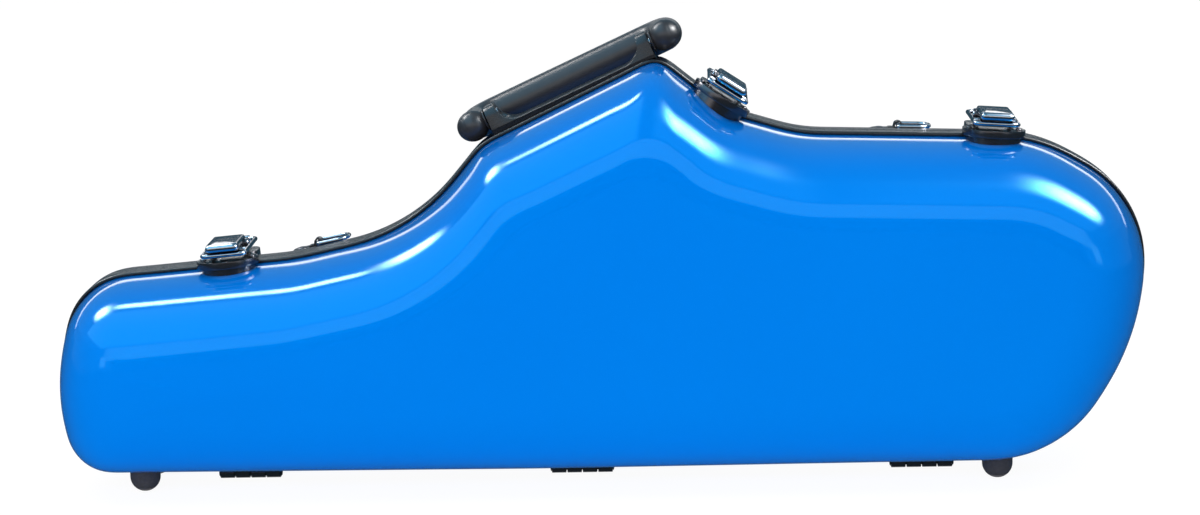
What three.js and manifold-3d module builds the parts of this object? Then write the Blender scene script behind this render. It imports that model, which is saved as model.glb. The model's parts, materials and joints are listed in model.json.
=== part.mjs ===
// Hard-shell alto saxophone case, standing shut on its hinge edge.
// Millimetres. +X runs from the narrow neck end to the bell end, +Y from the lid to the rear shell, +Z up.
// The seam between the two shells is the plane y = 0 and the feet stand on z = 0.
import * as THREE from "three";
import { mergeVertices } from "three/addons/utils/BufferGeometryUtils.js";
import Module from "manifold-3d";

const wasm = await Module();
wasm.setup();

// Driving dimensions of the case
const caseLength = 646;
const caseHeight = 240;
const shellDepth = 82;
const shellWall = 2.6;
const groundClearance = 11.2;
const clearance = 0.3;
const seamGap = 0.3;
const overrun = 20;

// Corners of the seam outline, clockwise from the lower neck end.
// Shares of the length, of the height, and the corner radius as a share of the height.
const outlineShares = [
  [-0.486, 0.009, 0.119],
  [-0.506, 0.217, 0.49],
  [-0.482, 0.48, 0.167],
  [-0.281, 0.524, 0.626],
  [-0.17, 0.588, 0.48],
  [-0.102, 0.802, 0.083],
  [0.059, 1.006, 0.04],
  [0.125, 0.866, 0.104],
  [0.188, 0.814, 0.416],
  [0.404, 0.794, 0.393],
  [0.506, 0.635, 0.283],
  [0.495, 0.309, 0.626],
  [0.437, 0.059, 0.33],
  [0.377, 0.003, 0.325],
  [-0.059, 0, 12.5],
];
// The same corners where the shell's face turns flat, in the same shares.
const panelShares = [
  [-0.415, 0.2, 0.035],
  [-0.424, 0.24, 0.08],
  [-0.414, 0.28, 0.035],
  [-0.275, 0.318, 0.75],
  [-0.127, 0.4, 0.62],
  [-0.054, 0.633, 0.125],
  [0.049, 0.763, 0.1],
  [0.089, 0.679, 0.25],
  [0.175, 0.607, 0.58],
  [0.382, 0.588, 0.18],
  [0.424, 0.522, 0.1],
  [0.419, 0.377, 0.33],
  [0.386, 0.231, 0.12],
  [0.364, 0.211, 0.1],
  [-0.059, 0.208, 12.5],
];
// How square the rounding from the side wall to the face is: 2 is an ellipse.
const roundingExponent = 2.8;
// Depths of the shell's rings as shares of its depth, from near the rim to the flat face.
const ringShares = [0.25, 0.46, 0.66, 0.83, 0.95, 1];
// How far a facet may stray from a corner's arc
const arcTolerance = 0.7;

// Rim profile on each shell's edge
const rimWidth = 11;
const rimProud = 2.2;
const rimWeb = 2.6;
const rimLip = 1.6;
const rimLipReach = 9;
const rimRounding = 0.8;
const sealWidth = 1.6;
const sealHeight = 1.4;

// Moulded lining
const liningRecess = 0.5;
const hornMargin = 15;
const hornNeckRadius = 33;
const hornBowRadius = 38;
const hornMouthRadius = 60;
const hornThroatShare = 0.7;
const bowRadius = 45;
const hornNeckShare = -0.44;
const hornBowShare = 0.335;
const mouthShares = [0.035, 0.7];
const hornSides = 20;
const pocketLength = 74;
const pocketWidth = 40;
const pocketDepth = 48;
const pocketRadius = 9;
const pocketShares = [-0.083, 0.49];

// Hinges
const hingeShares = [-0.332, -0.019, 0.299];
const hingeNames = ["left", "middle", "right"];
const hingeAxisHeight = 4.4;
const hingeWidth = 37.5;
const knuckleRadius = 3.2;
const knuckleCount = 4;
const hingePinRadius = 1.5;
const hingeLeafReach = 10;
const hingeLeafThickness = 1.4;

// Feet
const footShares = [-0.426, 0.3665];
const footNames = ["left", "right"];
const footRadius = 9.1;
const footTipRadius = 3;
const footOffset = 21;
const footEmbed = 4;

// Draw latches
const latchShares = [-0.3395, 0.1133, 0.3633];
const latchNames = ["left", "middle", "right"];
const latchBaseLength = 37;
const latchBaseFront = -36;
const latchBaseBack = -2;
const latchBaseThickness = 4.4;
const latchBaseSkirt = 9;
const latchSpacerInset = 2.5;
const latchBevel = 0.8;
const lugThickness = 1.2;
const lugRadius = 3.4;
const leverWidth = 19;
const leverFront = -38;
const leverBack = -3;
const leverTop = 18;
const leverSheet = 1.5;
const leverLipRadius = 4;
const leverLipBottom = 13.4;
const leverGrooveWidth = 2.4;
const leverGrooveDepth = 0.6;
const leverGroovePlace = -17;
const cheekFront = -31;
const cheekBottom = 8.6;
const cheekSlope = 6;
const leverPivot = [-5, 12.6];
const leverPinRadius = 1.5;
const bailPivot = [-20, 11.2];
const bailFront = -34;
const bailRodRadius = 1.3;
const bailRollRadius = 2.1;
const bailHalfWidth = 12.7;
const bailCornerRadius = 3.2;
const bailFarBar = [17, 11.6];

// Keepers that the latches draw on
const keeperLength = 28;
const keeperFront = 2.5;
const keeperBack = 24;
const keeperTop = 5.6;
const keeperRadius = 5;
const keeperLugWidth = 18;
const keeperLugThickness = 3.6;
const keeperLugTop = 13;

// Carrying handle and its bracket
const handleSpan = 126.6;
const handleShift = 4.3;
const handlePivotHeight = 11.1;
const handleTilt = THREE.MathUtils.degToRad(0.9);
const handlePivotDepth = 3;
const handleReach = 39;
const gripRadius = 10.4;
const armRadius = 7.6;
const ballRadius = 9.3;
const ballReach = 9.8;
const gripCornerRadius = 16;
const gripTouchShare = 0.33;
const gripSides = 12;
const bracketThickness = 2.4;
const bracketHalfDepth = 11;
const bracketSkirt = 4;
const earThickness = 6.4;
const earRadius = 7.8;
const earFillet = 13;
const handlePinRadius = 2.5;
const handlePinHead = 4.2;
const handlePinHeadThickness = 1.2;
const handlePinLength = 17;

// Strap rings on the rear shell
const ringShareList = [-0.2618, 0.2808];
const ringNames = ["left", "right"];
const ringDepth = 20;
const saddleLength = 33;
const saddleWidth = 13;
const saddleTop = 1.2;
const saddleSkirt = 5;
const saddleCorner = 5;
const archWidth = 6.6;
const archWall = 0.9;
const archBore = 1.8;
const ringRodRadius = 1.2;
const ringHalfWidth = 8;
const ringReach = 18.6;
const ringCorner = 6.5;
const rivetRadius = 3.8;
const rivetHeight = 1;
const rivetShare = -0.33;

const group = new THREE.Group();
const sides = { front: -1, rear: 1 };

// Materials
const paint = { color: 0x0a86f0, roughness: 0.12, metalness: 0 };
const rimBlack = { color: 0x1b1b20, roughness: 0.45, metalness: 0 };
const plushGrey = { color: 0x2b2c31, roughness: 1, metalness: 0 };
const rubberBlack = { color: 0x242429, roughness: 0.6, metalness: 0 };
const darkChrome = { color: 0x55555c, roughness: 0.18, metalness: 1 };
const blackSteel = { color: 0x1d1d22, roughness: 0.25, metalness: 0.8 };

// Adds a closed geometry to a parent as a named mesh.
function addPart(name, geometry, finish, parent = group) {
  geometry.computeVertexNormals();
  const mesh = new THREE.Mesh(geometry, new THREE.MeshStandardMaterial(finish));
  mesh.name = name;
  parent.add(mesh);
  return mesh;
}

// Indexed geometry from points and triangles, turned so that its faces point out.
function closedGeometry(points, triangles) {
  let volume = 0;
  const cross = new THREE.Vector3();
  for (const [a, b, c] of triangles) {
    volume += points[a].dot(cross.crossVectors(points[b], points[c]));
  }
  const index = volume > 0 ? triangles.flat() : triangles.map(([a, b, c]) => [a, c, b]).flat();
  const geometry = new THREE.BufferGeometry().setFromPoints(points);
  geometry.setIndex(index);
  return geometry;
}

// Skins a run of rings that have the same count of points. Open runs get flat caps.
function skinRings(rings, closed) {
  const size = rings[0].length;
  const points = rings.flat();
  const triangles = [];
  const last = closed ? rings.length : rings.length - 1;
  for (let i = 0; i < last; i++) {
    const near = i * size;
    const far = ((i + 1) % rings.length) * size;
    for (let j = 0; j < size; j++) {
      const next = (j + 1) % size;
      triangles.push([near + j, near + next, far + j]);
      triangles.push([near + next, far + next, far + j]);
    }
  }
  if (!closed) {
    capRing(rings[0], 0, triangles, true);
    capRing(rings[rings.length - 1], size * (rings.length - 1), triangles, false);
  }
  return closedGeometry(points, triangles);
}

// Fills one flat ring with triangles.
function capRing(ring, start, triangles, reversed) {
  const normal = new THREE.Vector3();
  const cross = new THREE.Vector3();
  for (let j = 0; j < ring.length; j++) {
    normal.add(cross.crossVectors(ring[j], ring[(j + 1) % ring.length]));
  }
  normal.normalize();
  const across = new THREE.Vector3().subVectors(ring[1], ring[0]).normalize();
  const up = new THREE.Vector3().crossVectors(normal, across);
  const flat = ring.map((p) => new THREE.Vector2(p.dot(across), p.dot(up)));
  for (const [a, b, c] of THREE.ShapeUtils.triangulateShape(flat, [])) {
    triangles.push(reversed ? [start + a, start + c, start + b] : [start + a, start + b, start + c]);
  }
}

// A closed geometry as a solid for cutting and joining, and back.
function solidOf(geometry) {
  const bare = geometry.clone();
  bare.deleteAttribute("normal");
  bare.deleteAttribute("uv");
  const merged = mergeVertices(bare);
  const vertProperties = merged.attributes.position.array;
  const triVerts = new Uint32Array(merged.index.array);
  return new wasm.Manifold(new wasm.Mesh({ numProp: 3, vertProperties, triVerts }));
}

function geometryOf(solid) {
  const mesh = solid.getMesh();
  const geometry = new THREE.BufferGeometry();
  geometry.setAttribute("position", new THREE.BufferAttribute(new Float32Array(mesh.vertProperties), 3));
  geometry.setIndex(new THREE.BufferAttribute(new Uint32Array(mesh.triVerts), 1));
  return geometry;
}

function join(...pieces) {
  return geometryOf(pieces.map(solidOf).reduce((whole, piece) => whole.add(piece)));
}

function cut(piece, ...tools) {
  return geometryOf(tools.map(solidOf).reduce((whole, tool) => whole.subtract(tool), solidOf(piece)));
}

function common(piece, other) {
  return geometryOf(solidOf(piece).intersect(solidOf(other)));
}

// The turn of one facet of an arc that keeps to the tolerance
function facetTurn(radius) {
  return 2 * Math.acos(1 - Math.min(arcTolerance / radius, 1));
}

// Samples a rounded polygon. Corners are [x, z, radius]; `counts` sets how many facets each corner's arc has.
function sampleCorners(corners, counts) {
  const places = corners.map(([x, z]) => new THREE.Vector2(x, z));
  const count = places.length;
  const turns = [];
  for (let i = 0; i < count; i++) {
    const arrive = places[i].clone().sub(places[(i + count - 1) % count]).normalize();
    const leave = places[(i + 1) % count].clone().sub(places[i]).normalize();
    const angle = Math.atan2(arrive.cross(leave), arrive.dot(leave));
    turns.push({ arrive, leave, angle, tangent: corners[i][2] * Math.tan(Math.abs(angle) / 2) });
  }
  // A corner's arc is limited by the edges that it joins.
  const fit = turns.map(() => 1);
  for (let i = 0; i < count; i++) {
    const j = (i + 1) % count;
    const room = places[i].distanceTo(places[j]) / (turns[i].tangent + turns[j].tangent);
    fit[i] = Math.min(fit[i], room);
    fit[j] = Math.min(fit[j], room);
  }
  const samples = [];
  for (let i = 0; i < count; i++) {
    const { arrive, leave, angle, tangent } = turns[i];
    const reach = tangent * fit[i];
    const radius = corners[i][2] * fit[i];
    const start = places[i].clone().addScaledVector(arrive, -reach);
    const side = new THREE.Vector2(-arrive.y, arrive.x).multiplyScalar(Math.sign(angle));
    const centre = start.clone().addScaledVector(side, radius);
    const steps = counts ? counts[i] : Math.ceil(Math.abs(angle) / facetTurn(radius));
    for (let k = 0; k <= steps; k++) {
      const turn = (angle * k) / steps;
      const spoke = side.clone().negate().rotateAround(new THREE.Vector2(), turn);
      const along = arrive.clone().rotateAround(new THREE.Vector2(), turn);
      samples.push({
        point: centre.clone().addScaledVector(spoke, radius),
        normal: new THREE.Vector2(-along.y, along.x),
        corner: i,
      });
    }
  }
  return samples;
}

function scaledCorners(shares) {
  return shares.map(([x, z, radius]) => [x * caseLength, z * caseHeight, radius * caseHeight]);
}

// Seam outline and face outline, centred on x and lifted to the case's height above the floor
const outlineTurns = sampleCorners(scaledCorners(outlineShares));
const arcCounts = outlineShares.map((_, i) => outlineTurns.filter((s) => s.corner === i).length - 1);
const panelTurns = sampleCorners(scaledCorners(panelShares), arcCounts);
const outlineBox = new THREE.Box2().setFromPoints(outlineTurns.map((s) => s.point));
const middleX = outlineBox.getCenter(new THREE.Vector2()).x;
const centring = new THREE.Vector2(-middleX, groundClearance - outlineBox.min.y);
const outline = outlineTurns.map((s) => ({ point: s.point.clone().add(centring), normal: s.normal }));
const panel = panelTurns.map((s) => s.point.clone().add(centring));

// How far the skin has drawn in at a share of the shell's depth
function insetAt(share) {
  return 1 - Math.pow(1 - Math.pow(share, roundingExponent), 1 / roundingExponent);
}

// Ring of the case's skin: inset is 0 at the seam outline and 1 at the face outline.
function skinRing(offset, depth, inset) {
  return outline.map(({ point, normal }, i) => {
    const edge = point.clone().addScaledVector(normal, offset);
    const place = edge.lerp(panel[i], inset);
    return new THREE.Vector3(place.x, depth, place.y);
  });
}

// Rings from the rim at `start` to the flat face at `depth`, on the side of the seam that `side` gives.
function halfRings(offset, start, depth, side) {
  const rings = [skinRing(offset, side * start, 0)];
  for (const share of ringShares) {
    rings.push(skinRing(offset, side * depth * share, insetAt(share)));
  }
  return rings;
}

// A solid block of one half of the case, grown by an offset, for cutting what sits on the skin.
function halfBlock(offset, side) {
  return skinRings(halfRings(offset, seamGap / 2, shellDepth + offset, side).reverse(), false);
}

// A flat-sided band round the seam, as deep as the rim profiles and grown by an offset.
function rimBlock(offset) {
  const reach = rimWidth + offset;
  return skinRings([skinRing(rimProud + offset, -reach, 0), skinRing(rimProud + offset, reach, 0)], false);
}

// Sweeps a flat section of [outward, depth] points round the outline.
function sweepRound(section, side) {
  const rings = outline.map(({ point, normal }) =>
    section.map(([outward, depth]) => {
      const place = point.clone().addScaledVector(normal, outward);
      return new THREE.Vector3(place.x, side * depth, place.y);
    })
  );
  return skinRings(rings, true);
}

// Tube along points. Radii may differ from ring to ring, and `reference` is square to each ring's width.
function tube(points, radii, sides, reference, closed) {
  const count = points.length;
  const rings = points.map((point, i) => {
    const before = closed ? points[(i + count - 1) % count] : points[Math.max(0, i - 1)];
    const after = closed ? points[(i + 1) % count] : points[Math.min(count - 1, i + 1)];
    const along = new THREE.Vector3().subVectors(after, before).normalize();
    const across = new THREE.Vector3().crossVectors(reference, along).normalize();
    const up = new THREE.Vector3().crossVectors(along, across);
    const ring = [];
    for (let j = 0; j < sides; j++) {
      const turn = (2 * Math.PI * (j + 0.5)) / sides;
      const radius = Array.isArray(radii) ? radii[i] : radii;
      ring.push(
        point.clone()
          .addScaledVector(across, radius * Math.cos(turn))
          .addScaledVector(up, radius * Math.sin(turn))
      );
    }
    return ring;
  });
  return skinRings(rings, closed);
}

// The frame of a piece that sits on top of the outline, level with the highest skin within its length
function topSeat(share, length) {
  const at = (x) => {
    for (let i = 0; i < outline.length; i++) {
      const a = outline[i].point;
      const b = outline[(i + 1) % outline.length].point;
      if (a.x <= x && b.x > x) {
        return a.clone().lerp(b, (x - a.x) / (b.x - a.x));
      }
    }
    throw new Error("no outline above this place");
  };
  const x = share * caseLength;
  const rough = at(x + length / 2).sub(at(x - length / 2)).normalize();
  const half = (length / 2) * rough.x;
  const left = at(x - half);
  const right = at(x + half);
  const along = right.clone().sub(left).normalize();
  const up = new THREE.Vector2(-along.y, along.x);
  const middle = left.clone().lerp(right, 0.5);
  let rise = 0;
  for (const { point } of outline) {
    const from = point.clone().sub(middle);
    if (Math.abs(from.dot(along)) < length / 2) {
      rise = Math.max(rise, from.dot(up));
    }
  }
  middle.addScaledVector(up, rise);
  const seat = new THREE.Group();
  seat.position.set(middle.x, 0, middle.y);
  seat.rotation.y = -Math.atan2(along.y, along.x);
  seat.updateMatrix();
  group.add(seat);
  return seat;
}

// Cuts a piece, drawn in a seat's frame, to the case's skin and rim.
const grownSkins = [halfBlock(clearance, -1), halfBlock(clearance, 1), rimBlock(clearance)];
function trimToCase(piece, seat) {
  const back = seat.matrix.clone().invert();
  return cut(piece, ...grownSkins.map((block) => block.clone().applyMatrix4(back)));
}

// Extrudes a shape drawn in [depth, height] across the width of a piece, centred on its middle.
function acrossWidth(shape, width, curveSegments) {
  const geometry = new THREE.ExtrudeGeometry(shape, { depth: width, bevelEnabled: false, curveSegments });
  geometry.translate(0, 0, -width / 2);
  geometry.rotateX(Math.PI / 2);
  geometry.rotateZ(Math.PI / 2);
  return geometry;
}

// Extrudes a shape drawn in plan upward from a height.
function upFrom(shape, base, height, curveSegments) {
  const geometry = new THREE.ExtrudeGeometry(shape, { depth: height, bevelEnabled: false, curveSegments });
  geometry.translate(0, 0, base);
  return geometry;
}

// A pin or a bore along the piece's width, at [depth, height].
function crossPin([depth, height], radius, width, sides) {
  const pin = new THREE.CylinderGeometry(radius, radius, width, sides);
  pin.rotateZ(Math.PI / 2);
  pin.translate(0, depth, height);
  return pin;
}

function roundedRectangle(x0, y0, x1, y1, radius) {
  const shape = new THREE.Shape();
  shape.moveTo(x0 + radius, y0);
  shape.lineTo(x1 - radius, y0);
  shape.absarc(x1 - radius, y0 + radius, radius, -Math.PI / 2, 0, false);
  shape.lineTo(x1, y1 - radius);
  shape.absarc(x1 - radius, y1 - radius, radius, 0, Math.PI / 2, false);
  shape.lineTo(x0 + radius, y1);
  shape.absarc(x0 + radius, y1 - radius, radius, Math.PI / 2, Math.PI, false);
  shape.lineTo(x0, y0 + radius);
  shape.absarc(x0 + radius, y0 + radius, radius, Math.PI, 1.5 * Math.PI, false);
  return shape;
}

// Shells: an outer skin, an inner skin a wall's thickness inside it, and the edge that the rim covers
const shellRim = rimWeb + clearance;
function shell(side) {
  const outer = halfRings(0, shellRim, shellDepth, side).reverse();
  const inner = halfRings(-shellWall, shellRim, shellDepth - shellWall, side);
  return skinRings([...outer, ...inner], false);
}

// Rim profiles: a crowned cover, a web across the shell's edge and a lip inside the wall
const rimInner = -(shellWall + clearance + rimLip);
function rimSection(grooved) {
  const seam = seamGap / 2;
  const slotInner = -(shellWall + clearance);
  const groove = grooved ? sealGroove(seam) : [];
  return [
    [clearance, rimWidth],
    [rimProud - rimRounding, rimWidth],
    [rimProud, rimWidth - rimRounding],
    [rimProud, seam + rimRounding],
    [rimProud - rimRounding, seam],
    ...groove,
    [rimInner, seam],
    [rimInner, rimLipReach],
    [slotInner, rimLipReach],
    [slotInner, rimWeb],
    [clearance, rimWeb],
  ];
}
const sealMiddle = rimInner / 2;
function sealGroove(seam) {
  const half = sealWidth / 2 + clearance;
  const floor = seam + sealHeight + clearance;
  return [
    [sealMiddle + half, seam],
    [sealMiddle + half, floor],
    [sealMiddle - half, floor],
    [sealMiddle - half, seam],
  ];
}
function seal() {
  const outer = sealMiddle + sealWidth / 2;
  const inner = sealMiddle - sealWidth / 2;
  const low = seamGap / 2;
  const high = low + sealHeight;
  return sweepRound([[outer, low], [outer, high], [inner, high], [inner, low]], sides.rear);
}

// The lining fills the shell inside the rim's lip.
function liningBlock(side) {
  const offset = rimInner - clearance;
  const depth = shellDepth - shellWall - clearance;
  const rings = [skinRing(offset, side * liningRecess, 0)];
  for (const share of ringShares.filter((_, i) => i !== 0)) {
    rings.push(skinRing(offset, side * depth * share, insetAt(share)));
  }
  return skinRings(rings, false);
}

// Horn path in the seam plane: body tube along the bottom, bow at the bell end, bell rising to the hump
const hornBottom = groundClearance + hornMargin;
function hornCavity() {
  const points = [];
  const radii = [];
  const low = hornBottom + hornBowRadius;
  const neckX = hornNeckShare * caseLength;
  const bowX = hornBowShare * caseLength;
  const mouthZ = groundClearance + mouthShares[1] * caseHeight;
  const mouth = new THREE.Vector2(mouthShares[0] * caseLength, mouthZ);
  const push = (x, z, radius) => {
    points.push(new THREE.Vector3(x, 0, z));
    radii.push(radius);
  };
  push(neckX, low, hornNeckRadius);
  push(bowX, low, hornBowRadius);
  const bowSteps = 8;
  for (let k = 1; k < bowSteps; k++) {
    const turn = -Math.PI / 2 + (Math.PI * k) / bowSteps;
    push(bowX + bowRadius * Math.cos(turn), low + bowRadius * (1 + Math.sin(turn)), hornBowRadius);
  }
  const high = low + 2 * bowRadius;
  push(bowX, high, hornBowRadius);
  const throat = new THREE.Vector2(bowX, high).lerp(mouth, hornThroatShare);
  push(throat.x, throat.y, (hornBowRadius + hornMouthRadius) / 2);
  push(mouth.x, mouth.y, hornMouthRadius);
  return tube(points, radii, hornSides, new THREE.Vector3(0, 1, 0), false);
}
function pocket() {
  const half = [pocketLength / 2, pocketWidth / 2];
  const shape = roundedRectangle(-half[0], -half[1], half[0], half[1], pocketRadius);
  const geometry = upFrom(shape, 0, pocketDepth + overrun, 3);
  geometry.rotateX(-Math.PI / 2);
  geometry.rotateY(-handleSlope);
  const place = [pocketShares[0] * caseLength, groundClearance + pocketShares[1] * caseHeight];
  geometry.translate(place[0], -overrun, place[1]);
  return geometry;
}

// The handle lies on the straight slope between the shoulder and the hump.
const shoulder = scaledCorners(outlineShares)[5];
const hump = scaledCorners(outlineShares)[6];
const handleSlope = Math.atan2(hump[1] - shoulder[1], hump[0] - shoulder[0]);

for (const [name, side] of Object.entries(sides)) {
  addPart(`${name}_shell`, shell(side), paint);
  addPart(`${name}_rim`, sweepRound(rimSection(side > 0), side), rimBlack);
}
addPart("seam_seal", seal(), rubberBlack);
const horn = hornCavity();
addPart("front_lining", cut(liningBlock(sides.front), horn), plushGrey);
addPart("rear_lining", cut(liningBlock(sides.rear), horn, pocket()), plushGrey);

// Feet: rubber domes with a small flat tip, cut to the underside of the shells
function foot() {
  const height = groundClearance + footEmbed;
  const steps = 5;
  const start = Math.asin(footTipRadius / footRadius);
  const centre = footRadius * Math.cos(start);
  const profile = [new THREE.Vector2(0, 0)];
  for (let k = 0; k <= steps; k++) {
    const turn = start + ((Math.PI / 2 - start) * k) / steps;
    profile.push(new THREE.Vector2(footRadius * Math.sin(turn), centre - footRadius * Math.cos(turn)));
  }
  profile.push(new THREE.Vector2(footRadius, height), new THREE.Vector2(0, height));
  const geometry = new THREE.LatheGeometry(profile, 12);
  geometry.rotateX(Math.PI / 2);
  return geometry;
}
footShares.forEach((share, i) => {
  for (const [name, side] of Object.entries(sides)) {
    const place = new THREE.Group();
    place.position.set(share * caseLength, side * footOffset, 0);
    place.updateMatrix();
    group.add(place);
    addPart(`${name}_foot_${footNames[i]}`, trimToCase(foot(), place), rubberBlack, place);
  }
});

// Hinges below the seam: interleaved knuckles on two leaves that lie on the rim profiles
function bottomHeight(x) {
  for (let i = 0; i < outline.length; i++) {
    const a = outline[i].point;
    const b = outline[(i + 1) % outline.length].point;
    if (b.x <= x && a.x > x) {
      return a.y + ((b.y - a.y) * (x - a.x)) / (b.x - a.x);
    }
  }
  throw new Error("no outline below this place");
}
function hingeLeaf(side, seatHeight) {
  const top = seatHeight - rimProud - clearance - hingeAxisHeight;
  const inner = knuckleRadius + clearance;
  const low = top - hingeLeafThickness;
  const plate = new THREE.Shape();
  plate.moveTo(side * inner, low);
  plate.lineTo(side * inner, top);
  plate.lineTo(side * hingeLeafReach, top);
  plate.lineTo(side * hingeLeafReach, low);
  let leaf = acrossWidth(plate, hingeWidth, 1);
  const pitch = hingeWidth / knuckleCount;
  for (let k = 0; k < knuckleCount; k++) {
    if ((k % 2 === 0) !== side > 0) {
      continue;
    }
    const barrel = crossPin([0, 0], knuckleRadius, pitch - clearance, 12);
    const web = new THREE.Shape();
    web.moveTo(0, 0);
    web.lineTo(0, knuckleRadius);
    web.lineTo(side * inner, top);
    web.lineTo(side * (inner + hingeLeafThickness), top);
    web.lineTo(side * (inner + hingeLeafThickness), low);
    web.lineTo(side * knuckleRadius, 0);
    const knuckle = join(barrel, acrossWidth(web, pitch - clearance, 1));
    knuckle.translate((k + 0.5) * pitch - hingeWidth / 2, 0, 0);
    leaf = join(leaf, knuckle);
  }
  return cut(leaf, crossPin([0, 0], hingePinRadius + clearance, hingeWidth + overrun, 10));
}
hingeShares.forEach((share, i) => {
  const x = share * caseLength;
  const seatHeight = Math.min(...[x - hingeWidth / 2, x, x + hingeWidth / 2].map(bottomHeight));
  const place = new THREE.Group();
  place.position.set(x, 0, hingeAxisHeight);
  group.add(place);
  for (const [name, side] of Object.entries(sides)) {
    addPart(`${name}_hinge_leaf_${hingeNames[i]}`, hingeLeaf(side, seatHeight), blackSteel, place);
  }
  const pin = crossPin([0, 0], hingePinRadius, hingeWidth, 10);
  addPart(`hinge_pin_${hingeNames[i]}`, pin, blackSteel, place);
});

// Draw latches: a base on the lid's skin, a lever between the base's lugs, and a bail that the lever draws
const latchBaseBottom = rimProud + clearance;
const latchBaseTop = latchBaseBottom + latchBaseThickness;
function latchOval(inset) {
  const depth = (latchBaseBack - latchBaseFront) / 2 - inset;
  const plan = new THREE.Shape();
  const middle = (latchBaseFront + latchBaseBack) / 2;
  plan.absellipse(0, middle, latchBaseLength / 2 - inset, depth, 0, 2 * Math.PI, false, 0);
  return plan;
}
function latchBase() {
  const disc = new THREE.ExtrudeGeometry(latchOval(latchBevel), {
    depth: latchBaseThickness - 2 * latchBevel,
    bevelThickness: latchBevel,
    bevelSize: latchBevel,
    bevelSegments: 1,
    curveSegments: 10,
  });
  disc.translate(0, 0, latchBaseBottom + latchBevel);
  const spacerHeight = latchBaseSkirt + latchBaseBottom + latchBevel;
  const spacer = upFrom(latchOval(latchSpacerInset), -latchBaseSkirt, spacerHeight, 6);
  const [depthAt, heightAt] = leverPivot;
  const lug = new THREE.Shape();
  lug.moveTo(depthAt - lugRadius, latchBaseTop - latchBevel);
  lug.lineTo(depthAt - lugRadius, heightAt);
  lug.absarc(depthAt, heightAt, lugRadius, Math.PI, 0, true);
  lug.lineTo(depthAt + lugRadius - clearance, latchBaseTop - latchBevel);
  const lugPlace = (leverWidth + lugThickness) / 2 + clearance;
  const lugs = [-lugPlace, lugPlace].map((x) => acrossWidth(lug, lugThickness, 5).translate(x, 0, 0));
  return join(disc, spacer, ...lugs);
}
function leverPlate() {
  const inner = leverLipRadius - leverSheet;
  const turnAt = leverFront + leverLipRadius;
  const turnHeight = leverTop - leverLipRadius;
  const groove = leverGrooveWidth / 2;
  const plate = new THREE.Shape();
  plate.moveTo(leverBack, leverTop);
  plate.lineTo(leverGroovePlace + groove, leverTop);
  plate.lineTo(leverGroovePlace + groove, leverTop - leverGrooveDepth);
  plate.lineTo(leverGroovePlace - groove, leverTop - leverGrooveDepth);
  plate.lineTo(leverGroovePlace - groove, leverTop);
  plate.lineTo(turnAt, leverTop);
  plate.absarc(turnAt, turnHeight, leverLipRadius, Math.PI / 2, Math.PI, false);
  plate.lineTo(leverFront, leverLipBottom);
  plate.lineTo(leverFront + leverSheet, leverLipBottom);
  plate.lineTo(leverFront + leverSheet, turnHeight);
  plate.absarc(turnAt, turnHeight, inner, Math.PI, Math.PI / 2, true);
  plate.lineTo(leverBack, leverTop - leverSheet);
  return acrossWidth(plate, leverWidth, 4);
}
function leverCheek() {
  const [depthAt, heightAt] = leverPivot;
  const round = heightAt - cheekBottom;
  const top = leverTop - leverSheet / 2;
  const cheek = new THREE.Shape();
  cheek.moveTo(cheekFront, top);
  cheek.lineTo(cheekFront + cheekSlope, cheekBottom);
  cheek.lineTo(depthAt, cheekBottom);
  cheek.absarc(depthAt, heightAt, round, -Math.PI / 2, 0, false);
  cheek.lineTo(leverBack, top);
  return acrossWidth(cheek, leverSheet, 4);
}
function lever() {
  const cheekPlace = (leverWidth - leverSheet) / 2;
  const cheeks = [-cheekPlace, cheekPlace].map((x) => leverCheek().translate(x, 0, 0));
  const bores = [
    crossPin(leverPivot, leverPinRadius + clearance, leverWidth + overrun, 10),
    crossPin(bailPivot, bailRodRadius + clearance, leverWidth + overrun, 10),
  ];
  return cut(join(leverPlate(), ...cheeks), ...bores);
}
// Samples a closed rounded loop of corners [x, y, radius].
function loopPoints(corners, place) {
  const samples = sampleCorners(corners, corners.map(() => 2));
  return samples.map(({ point }) => place(point.x, point.y));
}
function bail() {
  const half = bailHalfWidth;
  const [pivotDepth, pivotHeight] = bailPivot;
  const [farDepth, farHeight] = bailFarBar;
  const slope = (farHeight - pivotHeight) / (farDepth - pivotDepth);
  const corners = [
    [-half, bailFront, bailCornerRadius],
    [half, bailFront, bailCornerRadius],
    [half, farDepth, bailCornerRadius],
    [-half, farDepth, bailCornerRadius],
  ];
  const place = (x, y) => new THREE.Vector3(x, y, pivotHeight + (y - pivotDepth) * slope);
  const upright = new THREE.Vector3(0, -slope, 1).normalize();
  const loop = tube(loopPoints(corners, place), bailRodRadius, 8, upright, true);
  const roll = crossPin(bailFarBar, bailRollRadius, 2 * (half - bailCornerRadius), 10);
  return join(loop, roll, crossPin(bailPivot, bailRodRadius, 2 * half, 8));
}
function keeper() {
  const half = keeperLength / 2;
  const plan = roundedRectangle(-half, keeperFront, half, keeperBack, keeperRadius);
  const plate = upFrom(plan, -latchBaseSkirt, latchBaseSkirt + keeperTop, 3);
  const back = bailFarBar[0] - bailRollRadius - clearance;
  const front = back - keeperLugThickness;
  const lug = new THREE.Shape();
  lug.moveTo(front, 0);
  lug.lineTo(back, 0);
  lug.lineTo(back, keeperLugTop);
  lug.lineTo(front + keeperLugThickness / 2, keeperLugTop);
  lug.lineTo(front, keeperLugTop - keeperLugThickness / 2);
  return join(plate, acrossWidth(lug, keeperLugWidth, 1));
}
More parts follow.
